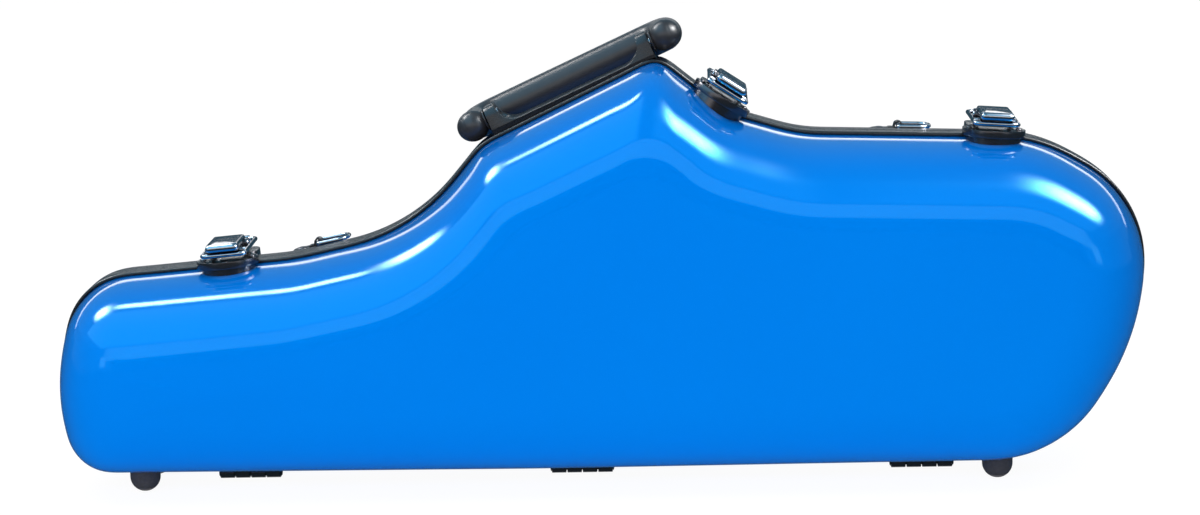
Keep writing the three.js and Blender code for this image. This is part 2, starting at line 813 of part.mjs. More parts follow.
latchShares.forEach((share, i) => {
  const seat = topSeat(share, latchBaseLength);
  const name = latchNames[i];
  const pinWidth = leverWidth + 2 * (lugThickness + clearance);
  const bore = crossPin(leverPivot, leverPinRadius + clearance, pinWidth + overrun, 12);
  addPart(`latch_base_${name}`, trimToCase(cut(latchBase(), bore), seat), blackSteel, seat);
  addPart(`latch_pin_${name}`, crossPin(leverPivot, leverPinRadius, pinWidth, 12), darkChrome, seat);
  addPart(`latch_lever_${name}`, lever(), darkChrome, seat);
  addPart(`latch_bail_${name}`, bail(), darkChrome, seat);
  addPart(`keeper_${name}`, trimToCase(keeper(), seat), blackSteel, seat);
});

// Handle: a bracket along the slope, two pins, and a rubber grip that folds back on the rear shell
const handlePlace = new THREE.Group();
const slopeStart = new THREE.Vector2(shoulder[0], shoulder[1]);
const slopeMiddle = slopeStart.lerp(new THREE.Vector2(hump[0], hump[1]), 0.5).add(centring);
const slopeAlong = new THREE.Vector2(Math.cos(handleSlope), Math.sin(handleSlope));
slopeMiddle.addScaledVector(slopeAlong, handleShift);
handlePlace.position.set(slopeMiddle.x, 0, slopeMiddle.y);
handlePlace.rotation.y = handleTilt - handleSlope;
handlePlace.updateMatrix();
group.add(handlePlace);
const handlePivot = [handlePivotDepth, handlePivotHeight];
const earOuter = handleSpan / 2 - ballReach - clearance;
const handlePinStart = earOuter - earThickness - clearance - handlePinHeadThickness;
function bracket() {
  const base = rimProud + clearance;
  const floor = base + bracketThickness;
  const top = handlePivotHeight + earRadius;
  const inner = earOuter - earThickness;
  const strip = new THREE.Shape();
  strip.moveTo(-earOuter, base - bracketSkirt);
  strip.lineTo(earOuter, base - bracketSkirt);
  strip.lineTo(earOuter, top);
  strip.lineTo(inner, top);
  strip.lineTo(inner, floor + earFillet);
  strip.absarc(inner - earFillet, floor + earFillet, earFillet, 0, -Math.PI / 2, true);
  strip.lineTo(-inner + earFillet, floor);
  strip.absarc(-inner + earFillet, floor + earFillet, earFillet, -Math.PI / 2, -Math.PI, true);
  strip.lineTo(-inner, top);
  strip.lineTo(-earOuter, top);
  const width = 2 * bracketHalfDepth;
  const body = new THREE.ExtrudeGeometry(strip, { depth: width, bevelEnabled: false, curveSegments: 5 });
  body.rotateX(Math.PI / 2);
  body.translate(0, handlePivotDepth + bracketHalfDepth, 0);
  const side = new THREE.Shape();
  side.moveTo(handlePivotDepth - bracketHalfDepth, -overrun);
  side.lineTo(handlePivotDepth + bracketHalfDepth, -overrun);
  side.lineTo(handlePivotDepth + bracketHalfDepth, floor);
  side.lineTo(handlePivotDepth + earRadius, handlePivotHeight);
  side.absarc(handlePivotDepth, handlePivotHeight, earRadius, 0, Math.PI, false);
  side.lineTo(handlePivotDepth - bracketHalfDepth, floor);
  const bores = [
    crossPin(handlePivot, handlePinRadius + clearance, handleSpan, 12),
    crossPin(handlePivot, handlePinHead + clearance, 2 * inner, 12),
  ];
  return cut(common(body, acrossWidth(side, handleSpan, 6)), ...bores);
}
function handlePin(side) {
  const profile = [
    new THREE.Vector2(0, 0),
    new THREE.Vector2(handlePinHead, 0),
    new THREE.Vector2(handlePinHead, handlePinHeadThickness),
    new THREE.Vector2(handlePinRadius, handlePinHeadThickness),
    new THREE.Vector2(handlePinRadius, handlePinLength),
    new THREE.Vector2(0, handlePinLength),
  ];
  const pin = new THREE.LatheGeometry(profile, 12);
  pin.rotateZ((-side * Math.PI) / 2);
  pin.translate(side * handlePinStart, handlePivotDepth, handlePivotHeight);
  return pin;
}
function grip() {
  const half = handleSpan / 2;
  const far = handlePivotDepth + handleReach;
  const low = gripRadius + clearance - skinDropAt(far - gripTouchShare * gripRadius);
  const route = new THREE.Path();
  const turnX = half - gripCornerRadius;
  const turnY = far - gripCornerRadius;
  route.moveTo(-half, handlePivotDepth);
  route.lineTo(-half, turnY);
  route.absarc(-turnX, turnY, gripCornerRadius, Math.PI, Math.PI / 2, true);
  route.lineTo(turnX, far);
  route.absarc(turnX, turnY, gripCornerRadius, Math.PI / 2, 0, true);
  route.lineTo(half, handlePivotDepth);
  const flat = route.getPoints(4);
  const fall = (y) => (y - handlePivotDepth) / handleReach;
  const heightAt = (y) => handlePivotHeight + (low - handlePivotHeight) * fall(y);
  const points = flat.map((p) => new THREE.Vector3(p.x, p.y, heightAt(p.y)));
  const radii = flat.map((p) => armRadius + (gripRadius - armRadius) * fall(p.y));
  const upright = new THREE.Vector3(0, (handlePivotHeight - low) / handleReach, 1).normalize();
  const bar = tube(points, radii, gripSides, upright, false);
  const balls = [-half, half].map((x) => {
    const ball = new THREE.SphereGeometry(ballRadius, 12, 8);
    ball.rotateZ(Math.PI / 2);
    ball.scale(ballReach / ballRadius, 1, 1);
    return ball.translate(x, handlePivotDepth, handlePivotHeight);
  });
  const boreEnd = handlePinStart + handlePinLength + clearance;
  const bore = crossPin(handlePivot, handlePinRadius + clearance, 2 * boreEnd, 12);
  return cut(join(bar, ...balls), bore);
}
// How far the skin has fallen below the seam outline at a depth.
function skinDropAt(depth) {
  const drop = hump[1] - scaledCorners(panelShares)[6][1];
  return insetAt(depth / shellDepth) * drop * Math.cos(handleSlope);
}
addPart("handle_bracket", trimToCase(bracket(), handlePlace), rimBlack, handlePlace);
addPart("handle_pin_left", handlePin(-1), darkChrome, handlePlace);
addPart("handle_pin_right", handlePin(1), darkChrome, handlePlace);
addPart("handle_grip", grip(), rubberBlack, handlePlace);

// Strap rings: a riveted saddle on the rear shell and a D-shaped ring that hangs in its arch
const ringPivotHeight = saddleTop + archBore;
function saddle() {
  const half = [saddleLength / 2, saddleWidth / 2];
  const plan = roundedRectangle(-half[0], -half[1], half[0], half[1], saddleCorner);
  const plate = upFrom(plan, -saddleSkirt, saddleSkirt + saddleTop, 3);
  const outer = archBore + archWall;
  const arch = new THREE.Shape();
  arch.moveTo(-outer, saddleTop - clearance);
  arch.lineTo(-outer, ringPivotHeight);
  arch.absarc(0, ringPivotHeight, outer, Math.PI, 0, true);
  arch.lineTo(outer, saddleTop - clearance);
  const body = new THREE.ExtrudeGeometry(arch, { depth: archWidth, bevelEnabled: false, curveSegments: 6 });
  body.rotateX(Math.PI / 2);
  body.translate(0, archWidth / 2, 0);
  const rivet = new THREE.CylinderGeometry(rivetRadius, rivetRadius, rivetHeight + clearance, 12);
  rivet.rotateX(Math.PI / 2);
  rivet.translate(rivetShare * saddleLength, 0, saddleTop + (rivetHeight - clearance) / 2);
  const bore = new THREE.CylinderGeometry(archBore, archBore, saddleWidth + overrun, 12);
  bore.translate(0, 0, ringPivotHeight);
  return cut(join(plate, body, rivet), bore).translate(0, ringDepth, 0);
}
function ring() {
  const corners = [
    [0, -ringHalfWidth, ringRodRadius],
    [ringReach, -ringHalfWidth, ringCorner],
    [ringReach, ringHalfWidth, ringCorner],
    [0, ringHalfWidth, ringRodRadius],
  ];
  const place = (x, y) => new THREE.Vector3(x, y + ringDepth, ringPivotHeight);
  return tube(loopPoints(corners, place), ringRodRadius, 8, new THREE.Vector3(0, 0, 1), true);
}
ringShareList.forEach((share, i) => {
  const seat = topSeat(share, saddleLength);
  addPart(`ring_saddle_${ringNames[i]}`, trimToCase(saddle(), seat), blackSteel, seat);
  addPart(`strap_ring_${ringNames[i]}`, ring(), darkChrome, seat);
});

export default group;
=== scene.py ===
# %% [markdown]
# # A shaped hard case for an alto saxophone
#
# The case is two glossy blue mouldings that meet at an upright seam, with black edge profiles,
# draw latches, a folding handle, strap rings, hinges and rubber feet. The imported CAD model
# already holds every piece at its real size and place. This lesson gives each piece its finished
# surface, and what a coarse solid can't show: smooth mouldings, rolled metal, moulded rubber and
# plush.

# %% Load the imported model
import json
import math

import bpy
import numpy as np
from mathutils import Matrix, Vector


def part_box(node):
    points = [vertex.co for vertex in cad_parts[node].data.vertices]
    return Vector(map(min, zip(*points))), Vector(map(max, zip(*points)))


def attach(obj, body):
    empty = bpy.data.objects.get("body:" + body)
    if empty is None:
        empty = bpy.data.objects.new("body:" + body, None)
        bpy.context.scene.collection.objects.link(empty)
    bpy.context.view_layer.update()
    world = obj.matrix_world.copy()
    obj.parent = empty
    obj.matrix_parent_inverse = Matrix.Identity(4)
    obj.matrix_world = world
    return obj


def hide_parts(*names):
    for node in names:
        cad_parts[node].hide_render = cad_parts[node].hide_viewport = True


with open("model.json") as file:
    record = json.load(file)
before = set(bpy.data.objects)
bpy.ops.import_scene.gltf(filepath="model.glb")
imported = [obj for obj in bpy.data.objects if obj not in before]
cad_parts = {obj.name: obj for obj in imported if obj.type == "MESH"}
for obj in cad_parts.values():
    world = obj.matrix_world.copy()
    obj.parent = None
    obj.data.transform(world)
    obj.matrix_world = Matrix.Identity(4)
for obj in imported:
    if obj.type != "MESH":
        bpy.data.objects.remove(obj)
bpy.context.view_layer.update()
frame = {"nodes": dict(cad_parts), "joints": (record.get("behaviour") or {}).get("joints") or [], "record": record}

MM = 0.001
HALVES = (("front", -1, "lid"), ("rear", 1, "base"))  # a half's name, its side along y, its body
nodes = frame["nodes"]
joints = {joint["name"]: joint for joint in frame["joints"]}

# %% [markdown]
# ## The camera
#
# The case is seen from the lid's side, a little above and a little from the right, through a long
# lens, which keeps its lines almost parallel. The camera stands about 1.8 m away and is rolled a
# little, so its axes are written down as they were measured on the case's own edges.

# %% Camera
LENS_MM = 90.0
SENSOR_MM = 36.0
camera_place = Vector((0.0603, -1.7722, 0.4429))
camera_right = Vector((0.99930, 0.02901, -0.02373)).normalized()
camera_ahead = Vector((-0.03266, 0.98457, -0.17193)).normalized()
camera_up = camera_right.cross(camera_ahead)
camera_data = bpy.data.cameras.new("camera")
camera_data.lens = LENS_MM
camera_data.sensor_width = SENSOR_MM
camera = bpy.data.objects.new("camera", camera_data)
axes = Matrix((camera_right, camera_up, -camera_ahead)).transposed()
camera.matrix_world = Matrix.Translation(camera_place) @ axes.to_4x4()
bpy.context.scene.collection.objects.link(camera)
bpy.context.scene.camera = camera
print("camera", round(camera_place.length, 3), "m from the middle of the footprint")

# %% [markdown]
# ## Shader maths
#
# A finish is a small sum over textures. Written as Python it stays readable, so a field wraps one
# socket, and every sum that is written with it adds the Math nodes for that sum.


# %% A socket that can be used in sums
class Field:
    def __init__(self, socket):
        self.socket = socket
        self.tree = socket.node.id_data

    def sum_with(self, operation, first, second):
        node = self.tree.nodes.new("ShaderNodeMath")
        node.operation = operation
        feed(self.tree, node.inputs[0], first)
        feed(self.tree, node.inputs[1], second)
        return Field(node.outputs[0])

    def __add__(self, other):
        return self.sum_with("ADD", self, other)

    def __radd__(self, other):
        return self.sum_with("ADD", other, self)

    def __rsub__(self, other):
        return self.sum_with("SUBTRACT", other, self)

    def __mul__(self, other):
        return self.sum_with("MULTIPLY", self, other)

    def __rmul__(self, other):
        return self.sum_with("MULTIPLY", other, self)


def feed(tree, place, value):
    """A socket takes a link from a field, or a plain value."""
    if isinstance(value, Field):
        tree.links.new(value.socket, place)
    else:
        place.default_value = value


# %% A finish: one material and the nodes that drive it
class Finish:
    def __init__(self, name, colour, roughness, metallic=0.0, fixed=None):
        self.material = bpy.data.materials.new(name)
        self.material.use_nodes = True
        self.tree = self.material.node_tree
        self.surface = self.tree.nodes["Principled BSDF"]
        self.surface.inputs["Base Color"].default_value = (*colour, 1.0)
        self.surface.inputs["Roughness"].default_value = roughness
        self.surface.inputs["Metallic"].default_value = metallic
        for socket, value in (fixed or {}).items():
            self.surface.inputs[socket].default_value = value
        place = self.tree.nodes.new("ShaderNodeTexCoord")
        self.where = Field(place.outputs["Object"])

    def node(self, kind, settings, inputs, output=0):
        """Adds a node: its settings first, then its sockets, by name or by number."""
        node = self.tree.nodes.new(kind)
        for setting, value in settings.items():
            setattr(node, setting, value)
        for socket, value in inputs.items():
            feed(self.tree, node.inputs[socket], value)
        return Field(node.outputs[output])

    def noise(self, grain, detail, roughness=0.5):
        """Smooth noise whose lumps are about `grain` metres across."""
        inputs = {"Vector": self.where, "Scale": 1.0 / grain, "Detail": detail}
        return self.node("ShaderNodeTexNoise", {}, {**inputs, "Roughness": roughness})

    def between(self, factor, low, high):
        """A colour that goes from low to high as the factor goes from 0 to 1."""
        inputs = {0: factor, 6: (*low, 1.0), 7: (*high, 1.0)}
        return self.node("ShaderNodeMix", {"data_type": "RGBA"}, inputs, 2)

    def relief(self, height, depth):
        """Bump from a height field, with its full depth in metres."""
        inputs = {"Height": height, "Distance": depth, "Strength": 1.0}
        self.drive("Normal", self.node("ShaderNodeBump", {}, inputs))

    def drive(self, socket, field):
        feed(self.tree, self.surface.inputs[socket], field)


# %% [markdown]
# ## Finishes
#
# Each finish is named for what the piece is made of. The blue is a gel coat: a deep colour under
# a hard clear layer, with the faint waviness that lacquer dries to. The metal is a smoked chrome.
# The edge profiles are a satin plastic with a fine grain, and the rubber is duller and a little
# mottled.


# %% The blue coat
def blue_coat():
    """The pigment tints the paint's own reflection; the clear coat adds a little white on top."""
    gloss = {
        "Specular IOR Level": 0.9,
        "Specular Tint": (0.0, 0.6, 1.0, 1.0),
        "Coat Weight": 0.25,
        "Coat Roughness": 0.02,
        "Coat IOR": 1.5,
    }
    finish = Finish("blue_coat", (0.0, 0.2, 0.8), 0.08, 0.0, gloss)
    drift = finish.noise(0.18, 1.0)
    finish.drive("Base Color", finish.between(drift, (0.0, 0.19, 0.77), (0.0, 0.21, 0.81)))
    finish.drive("Roughness", 0.06 + 0.05 * finish.noise(0.02, 3.0))
    finish.relief(finish.noise(0.012, 1.0), 0.00001)
    return finish.material


# %% Plastic, rubber and metal
def edge_plastic():
    finish = Finish("edge_plastic", (0.006, 0.006, 0.008), 0.36)
    grain = finish.noise(0.0006, 3.0)
    finish.drive("Roughness", 0.22 + 0.12 * grain)
    finish.relief(grain, 0.00003)
    return finish.material


def moulded_rubber():
    finish = Finish("moulded_rubber", (0.022, 0.022, 0.025), 0.4)
    mottle = finish.noise(0.004, 4.0)
    finish.drive("Base Color", finish.between(mottle, (0.017, 0.017, 0.02), (0.028, 0.027, 0.03)))
    finish.drive("Roughness", 0.27 + 0.14 * mottle)
    finish.relief(finish.noise(0.0008, 2.0), 0.00002)
    return finish.material


def foot_rubber():
    finish = Finish("foot_rubber", (0.045, 0.045, 0.055), 0.7)
    mottle = finish.noise(0.0015, 4.0)
    finish.drive("Base Color", finish.between(mottle, (0.028, 0.028, 0.038), (0.062, 0.062, 0.072)))
    finish.relief(finish.noise(0.0007, 3.0), 0.00012)
    return finish.material


def smoked_chrome():
    finish = Finish("smoked_chrome", (0.42, 0.42, 0.46), 0.1, 1.0)
    wear = finish.noise(0.003, 4.0)
    finish.drive("Roughness", 0.07 + 0.1 * wear)
    finish.drive("Base Color", finish.between(wear, (0.38, 0.38, 0.42), (0.48, 0.48, 0.51)))
    return finish.material


def black_steel():
    finish = Finish("black_steel", (0.09, 0.085, 0.09), 0.22, 0.9)
    wear = finish.noise(0.004, 4.0)
    finish.drive("Roughness", 0.16 + 0.12 * wear)
    finish.relief(finish.noise(0.001, 2.0), 0.00002)
    return finish.material


def plush():
    sheen = {"Sheen Weight": 0.5, "Sheen Roughness": 0.4}
    finish = Finish("plush", (0.03, 0.03, 0.034), 1.0, 0.0, sheen)
    pile = finish.noise(0.0012, 4.0, 0.7)
    brushed = finish.noise(0.03, 3.0)
    shade = 0.55 * pile + 0.45 * brushed
    finish.drive("Base Color", finish.between(shade, (0.012, 0.012, 0.014), (0.055, 0.056, 0.062)))
    finish.relief(pile, 0.0006)
    return finish.material


finishes = {
    "blue_shell": blue_coat(),
    "rim_profile": edge_plastic(),
    "seal_rubber": moulded_rubber(),
    "plush": plush(),
    "foot_rubber": foot_rubber(),
    "grip_rubber": moulded_rubber(),
    "black_steel": black_steel(),
    "dark_chrome": smoked_chrome(),
}
slots = {part["node"]: part["material_slot"] for part in frame["record"]["subparts"]}
for name, node in nodes.items():
    node.data.materials.clear()
    node.data.materials.append(finishes[slots[name]])
print("finishes:", ", ".join(finishes))

# %% [markdown]
# ## A skin over rings
#
# The mouldings have no flat side to start from. Each is a sheet of cells wrapped round a family
# of closed rings, as a sailmaker lays cloth over frames: a grid primitive gives the cells, every
# row of it is moved onto one ring, the two ends of the sheet are welded, and open ends are
# filled.


# %% Helpers for skins
HAIR = 0.001 * MM


def clear_selection():
    for thing in bpy.context.selected_objects:
        thing.select_set(False)


def activate(piece):
    clear_selection()
    piece.select_set(True)
    bpy.context.view_layer.objects.active = piece


def finish_piece(piece, name, slot, body, node, angle):
    """Smooths edges up to an angle, sets name and finish, hangs the piece on its body and hides the CAD node that
    it stands for.
    """
    if angle:
        activate(piece)
        bpy.ops.object.shade_smooth_by_angle(angle=math.radians(angle))
    piece.name = name
    piece.data.name = name
    piece.data.materials.clear()
    piece.data.materials.append(finishes[slot])
    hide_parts(node)
    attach(piece, body)
    print(name, len(piece.data.polygons), "faces")


def edit_all(*steps):
    """Runs edit-mode steps on the active piece with everything in it selected."""
    bpy.ops.object.mode_set(mode="EDIT")
    bpy.ops.mesh.select_all(action="SELECT")
    for step in steps:
        step()
    bpy.ops.object.mode_set(mode="OBJECT")


def skin(rings, loop=False):
    """A closed skin over rings of points. With loop, the last ring joins the first."""
    rings = np.asarray(rings, float)
    sheet = np.concatenate([rings, rings[:, :1]], axis=1)
    if loop:
        sheet = np.concatenate([sheet, sheet[:1]])
    rows, columns = sheet.shape[:2]
    clear_selection()
    bpy.ops.mesh.primitive_grid_add(x_subdivisions=columns - 1, y_subdivisions=rows - 1, size=1)
    piece = bpy.context.active_object
    piece.data.vertices.foreach_set("co", sheet.reshape(-1))
    piece.data.update()
    edit_all(
        lambda: bpy.ops.mesh.remove_doubles(threshold=HAIR),
        lambda: bpy.ops.mesh.fill_holes(sides=0),
        lambda: bpy.ops.mesh.normals_make_consistent(inside=False),
    )
    return piece


def apply_modifier(piece, kind, **settings):
    """Adds a modifier, sets it and applies it."""
    activate(piece)
    modifier = piece.modifiers.new(kind.title(), kind)
    for setting, value in settings.items():
        setattr(modifier, setting, value)
    bpy.ops.object.modifier_apply(modifier=modifier.name)


# %% [markdown]
# ## The case's outline
#
# Seen from the front, the seam follows the saxophone inside: a low neck end, the shoulder, the
# hump over the bell, a saddle and the round bow end. It is a polygon with rounded corners, in
# shares of the case's length and height. A second polygon of the same kind bounds the flat of the
# face. The corners are plain arcs, and a gentle blur along the outline turns them into the
# blended curves that a mould has, because a sudden change of curvature shows as a kink in every
# reflection.

# %% Outline values
CASE_LENGTH = 0.646
CASE_HEIGHT = 0.240
POINT_SPACING = 0.003
BLUR_POINTS = 2.2
TOP_SHARE = 0.3
OUTLINE_SHARES = (
    (-0.486, 0.009, 0.119),
    (-0.506, 0.217, 0.49),
    (-0.482, 0.48, 0.167),
    (-0.281, 0.524, 0.626),
    (-0.17, 0.588, 0.48),
    (-0.102, 0.802, 0.083),
    (0.059, 1.006, 0.04),
    (0.125, 0.866, 0.104),
    (0.188, 0.814, 0.416),
    (0.404, 0.794, 0.393),
    (0.506, 0.635, 0.283),
    (0.495, 0.309, 0.626),
    (0.437, 0.059, 0.33),
    (0.377, 0.003, 0.325),
    (-0.059, 0.0, 12.5),
)
PANEL_SHARES = (
    (-0.415, 0.2, 0.035),
    (-0.424, 0.24, 0.08),
    (-0.414, 0.28, 0.035),
    (-0.275, 0.318, 0.75),
    (-0.127, 0.4, 0.62),
    (-0.054, 0.633, 0.125),
    (0.049, 0.763, 0.1),
    (0.089, 0.679, 0.25),
    (0.175, 0.607, 0.58),
    (0.382, 0.588, 0.18),
    (0.424, 0.522, 0.1),
    (0.419, 0.377, 0.33),
    (0.386, 0.231, 0.12),
    (0.364, 0.211, 0.1),
    (-0.059, 0.208, 12.5),
)


# %% Rounded polygons
COUNT_SLACK = 0.000001


def unit(vectors):
    return vectors / np.linalg.norm(vectors, axis=-1, keepdims=True)


def turned(vector, angle):
    cosine, sine = math.cos(angle), math.sin(angle)
    return np.array([vector[0] * cosine - vector[1] * sine, vector[0] * sine + vector[1] * cosine])


def steps_in(length, spacing):
    """How many steps a stretch gets. Rounding errors can't tip a whole number over to the next."""
    return math.ceil(length / spacing - COUNT_SLACK)


def rounded(corners, spacing, counts=None):
    """Points round a closed polygon of corners (x, z, radius), and how many each stretch has."""
    places = np.array([corner[:2] for corner in corners])
    radii = np.array([corner[2] for corner in corners])
    total = len(places)
    arrive = unit(places - np.roll(places, 1, axis=0))
    leave = np.roll(arrive, -1, axis=0)
    cross = arrive[:, 0] * leave[:, 1] - arrive[:, 1] * leave[:, 0]
    angle = np.arctan2(cross, (arrive * leave).sum(axis=1))
    tangent = radii * np.tan(abs(angle) / 2)
    room = np.linalg.norm(np.roll(places, -1, axis=0) - places, axis=1)
    share = room / (tangent + np.roll(tangent, -1))
    fit = np.minimum(1, np.minimum(share, np.roll(share, 1)))
    tangent, radii = tangent * fit, radii * fit
    arcs = []
    for i in range(total):
        start = places[i] - arrive[i] * tangent[i]
        inward = np.array([-arrive[i, 1], arrive[i, 0]]) * np.sign(angle[i])
        steps = counts[i][0] if counts else max(2, steps_in(radii[i] * abs(angle[i]), spacing))
        turns = angle[i] * np.arange(steps + 1) / steps
        middle = start + inward * radii[i]
        arcs.append([middle + turned(-inward, turn) * radii[i] for turn in turns])
    points, used = [], []
    for i in range(total):
        begin, end = arcs[i][-1], arcs[(i + 1) % total][0]
        steps = counts[i][1] if counts else steps_in(np.linalg.norm(end - begin), spacing)
        points += arcs[i]
        points += [begin + (end - begin) * k / steps for k in range(1, steps)]
        used.append((len(arcs[i]) - 1, steps))
    return np.array(points), used


def blurred(points, width):
    """A blur round a closed ring that leaves its size as it is."""
    waves = np.fft.rfftfreq(len(points))[:, None]
    passed = np.exp(-0.5 * (2 * math.pi * waves * width) ** 2)
    spectrum = np.fft.rfft(points, axis=0) * (1 - (1 - passed) ** 2)
    return np.fft.irfft(spectrum, len(points), axis=0)


# %% The seam outline and the face outline
def scaled(shares):
    return [(x * CASE_LENGTH, z * CASE_HEIGHT, radius * CASE_HEIGHT) for x, z, radius in shares]


def upper_edge(points):
    """The upper part of an outline, from left to right."""
    tops = points[points[:, 1] > TOP_SHARE * CASE_HEIGHT]
    return tops[np.argsort(tops[:, 0])]


edge, stretches = rounded(scaled(OUTLINE_SHARES), POINT_SPACING)
face, stretches = rounded(scaled(PANEL_SHARES), POINT_SPACING, stretches)
edge, face = blurred(edge, BLUR_POINTS), blurred(face, BLUR_POINTS)
low, high = (np.array(corner)[[0, 2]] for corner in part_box("front_shell"))
size = (high - low) / np.ptp(edge, axis=0)
face = low + (face - edge.min(axis=0)) * size
edge = low + (edge - edge.min(axis=0)) * size
ahead = unit(np.roll(edge, -1, axis=0) - np.roll(edge, 1, axis=0))
outward = np.stack([-ahead[:, 1], ahead[:, 0]], axis=1)
print(len(edge), "points round the seam, scaled by", size.round(4))

# %% [markdown]
# ## The shells
#
# From the seam the wall runs straight back, rolls over, and ends in an almost flat face. A
# superellipse gives that roll: squarer than a circle, and without a kink where it meets the flat.
# The face itself has a slight crown, as every large moulding has, so that its reflections spread.
# Rings run from the seam over the roll and on towards a spine along the middle of the face.
# Solidify then gives the wall its thickness.

# %% Shell values
SHELL_WALL = 2.6 * MM
SHELL_START = 2.9 * MM
SHELL_DEPTH = (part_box("rear_shell")[1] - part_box("rear_shell")[0]).y + SHELL_START
SQUARENESS = 2.8
CROWN = 3.0 * MM
ROLL_RINGS = 30
ROLL_SAMPLES = 4000
ROLL_DEPTH_WEIGHT = 1.8
FACE_RINGS = 8
SPINE_SHARE = 0.86
SPINE_LENGTH_SHARE = 0.8
SPINE_SPOTS = 60
SPINE_BLUR = 12


# %% The family of rings
def roll(count):
    """Shares of the depth and of the way in, evenly spaced along the roll."""
    turn = np.linspace(0, math.pi / 2, ROLL_SAMPLES)
    deep = np.sin(turn) ** (2 / SQUARENESS)
    inward = 1 - np.cos(turn) ** (2 / SQUARENESS)
    steps = np.hypot(np.diff(deep) * ROLL_DEPTH_WEIGHT, np.diff(inward))
    length = np.concatenate([[0], np.cumsum(steps)])
    wanted = np.linspace(0, length[-1], count)
    return np.interp(wanted, length, deep), np.interp(wanted, length, inward)


def spine_of(points):
    """For each point, the place on the face's middle line that its rings run towards."""
    middle = (points[:, 0].max() + points[:, 0].min()) / 2
    spots = np.linspace(points[:, 0].min(), points[:, 0].max(), SPINE_SPOTS)[2:-2]
    height = (np.interp(spots, *upper_edge(points).T) + points[:, 1].min()) / 2
    along = middle + (points[:, 0] - middle) * SPINE_LENGTH_SHARE
    return np.stack([along, np.interp(along, spots, height)], axis=1)


spine = blurred(spine_of(face), SPINE_BLUR)


def skin_rings(side):
    """Rings of the case's skin from the seam to the middle of the face."""
    deep, inward = roll(ROLL_RINGS)
    reach = np.linalg.norm(face - edge, axis=1, keepdims=True)
    beyond = np.linalg.norm(spine - face, axis=1, keepdims=True)
    rings = []
    steps = [(share, way, 0.0) for share, way in zip(deep, inward)]
    steps += [(1.0, 1.0, SPINE_SHARE * k / FACE_RINGS) for k in range(1, FACE_RINGS + 1)]
    for share, way, further in steps:
        flat = edge + (face - edge) * way + (spine - face) * further
        gone = (reach * way + beyond * further) / (reach + beyond)
        crown = CROWN * (1 - (1 - gone) ** 2)
        level = side * ((SHELL_DEPTH - CROWN) * share + crown[:, 0])
        rings.append(np.stack([flat[:, 0], level, flat[:, 1]], axis=1))
    return rings


def shell(side):
    rings = skin_rings(side)
    start = rings[0].copy()
    start[:, 1] = side * SHELL_START
    rings = [start] + [ring for ring in rings if abs(ring[0, 1]) > 1.5 * SHELL_START]
    return skin(rings)


# %% Model both shells
SEAM_CORNERS = 8


def pick(piece, kind, wanted):
    """Goes into edit mode with the faces or edges selected whose list of corners is wanted."""
    activate(piece)
    bpy.ops.object.mode_set(mode="EDIT")
    bpy.ops.mesh.select_mode(type=kind)
    bpy.ops.mesh.select_all(action="DESELECT")
    bpy.ops.object.mode_set(mode="OBJECT")
    spots = [vertex.co for vertex in piece.data.vertices]
    for part in piece.data.polygons if kind == "FACE" else piece.data.edges:
        part.select = wanted([spots[index] for index in part.vertices])
    bpy.ops.object.mode_set(mode="EDIT")


def at_seam(corners):
    """Picks the one face with many corners that fills the seam side."""
    return len(corners) > SEAM_CORNERS and abs(corners[0].y) < 2 * SHELL_START


def open_seam(piece):
    """Takes the filled seam side off again, so that the wall can get its thickness."""
    pick(piece, "FACE", at_seam)
    bpy.ops.mesh.delete(type="FACE")
    bpy.ops.mesh.select_mode(type="VERT")
    bpy.ops.object.mode_set(mode="OBJECT")


for name, side, body in HALVES:
    piece = shell(side)
    open_seam(piece)
    apply_modifier(piece, "SOLIDIFY", thickness=SHELL_WALL, offset=-1)
    finish_piece(piece, f"{name}_shell_moulding", "blue_shell", body, f"{name}_shell", 40)

# %% [markdown]
# ## The edge profiles
#
# A black plastic extrusion is pressed over each shell's edge. It has a crowned outer face, a web
# across the edge and a lip inside. One cross-section with rounded corners is swept round the
# outline, so each point of the section gives one ring.

# %% Edge profile values
RIM_WIDTH = 11 * MM
RIM_PROUD = 2.2 * MM
RIM_WEB = 2.6 * MM
RIM_LIP = 1.6 * MM
RIM_REACH = 9 * MM
RIM_ROUND = 1.1 * MM
SEAM = 0.15 * MM
CLEAR = 0.3 * MM


# %% Sweep the profiles
def rim_section():
    inner = -(SHELL_WALL + CLEAR + RIM_LIP)
    slot = -(SHELL_WALL + CLEAR)
    corners = [
        (CLEAR, RIM_WIDTH, 0.2 * MM),
        (RIM_PROUD, RIM_WIDTH, RIM_ROUND),
        (RIM_PROUD, SEAM, 0.7 * MM),
        (inner, SEAM, 0.4 * MM),
        (inner, RIM_REACH, 0.4 * MM),
        (slot, RIM_REACH, 0.3 * MM),
        (slot, RIM_WEB, 0.1 * MM),
        (CLEAR, RIM_WEB, 0.1 * MM),
    ]
    return rounded(corners, 0.5 * MM)[0]


def sweep(section, side):
    """A ring round the outline for each point (outward, depth) of a section."""
    rings = []
    for out, depth in section:
        flat = edge + outward * out
        level = np.full(len(flat), side * depth)
        rings.append(np.stack([flat[:, 0], level, flat[:, 1]], axis=1))
    return rings


for name, side, body in HALVES:
    piece = skin(sweep(rim_section(), side), loop=True)
    finish_piece(piece, f"{name}_edge_profile", "rim_profile", body, f"{name}_rim", 40)

# %% [markdown]
# ## The seam's seal
#
# A soft rubber cord lies in a groove of the rear profile and keeps dust out. It has a round back
# and a flat foot, and the same sweep round the outline makes it.

# %% Sweep the seal
SEAL_WIDTH = 1.6 * MM
SEAL_HEIGHT = 1.4 * MM
SEAL_MIDDLE = -(SHELL_WALL + CLEAR + RIM_LIP) / 2
SEAL_ROUND = 0.45 * MM


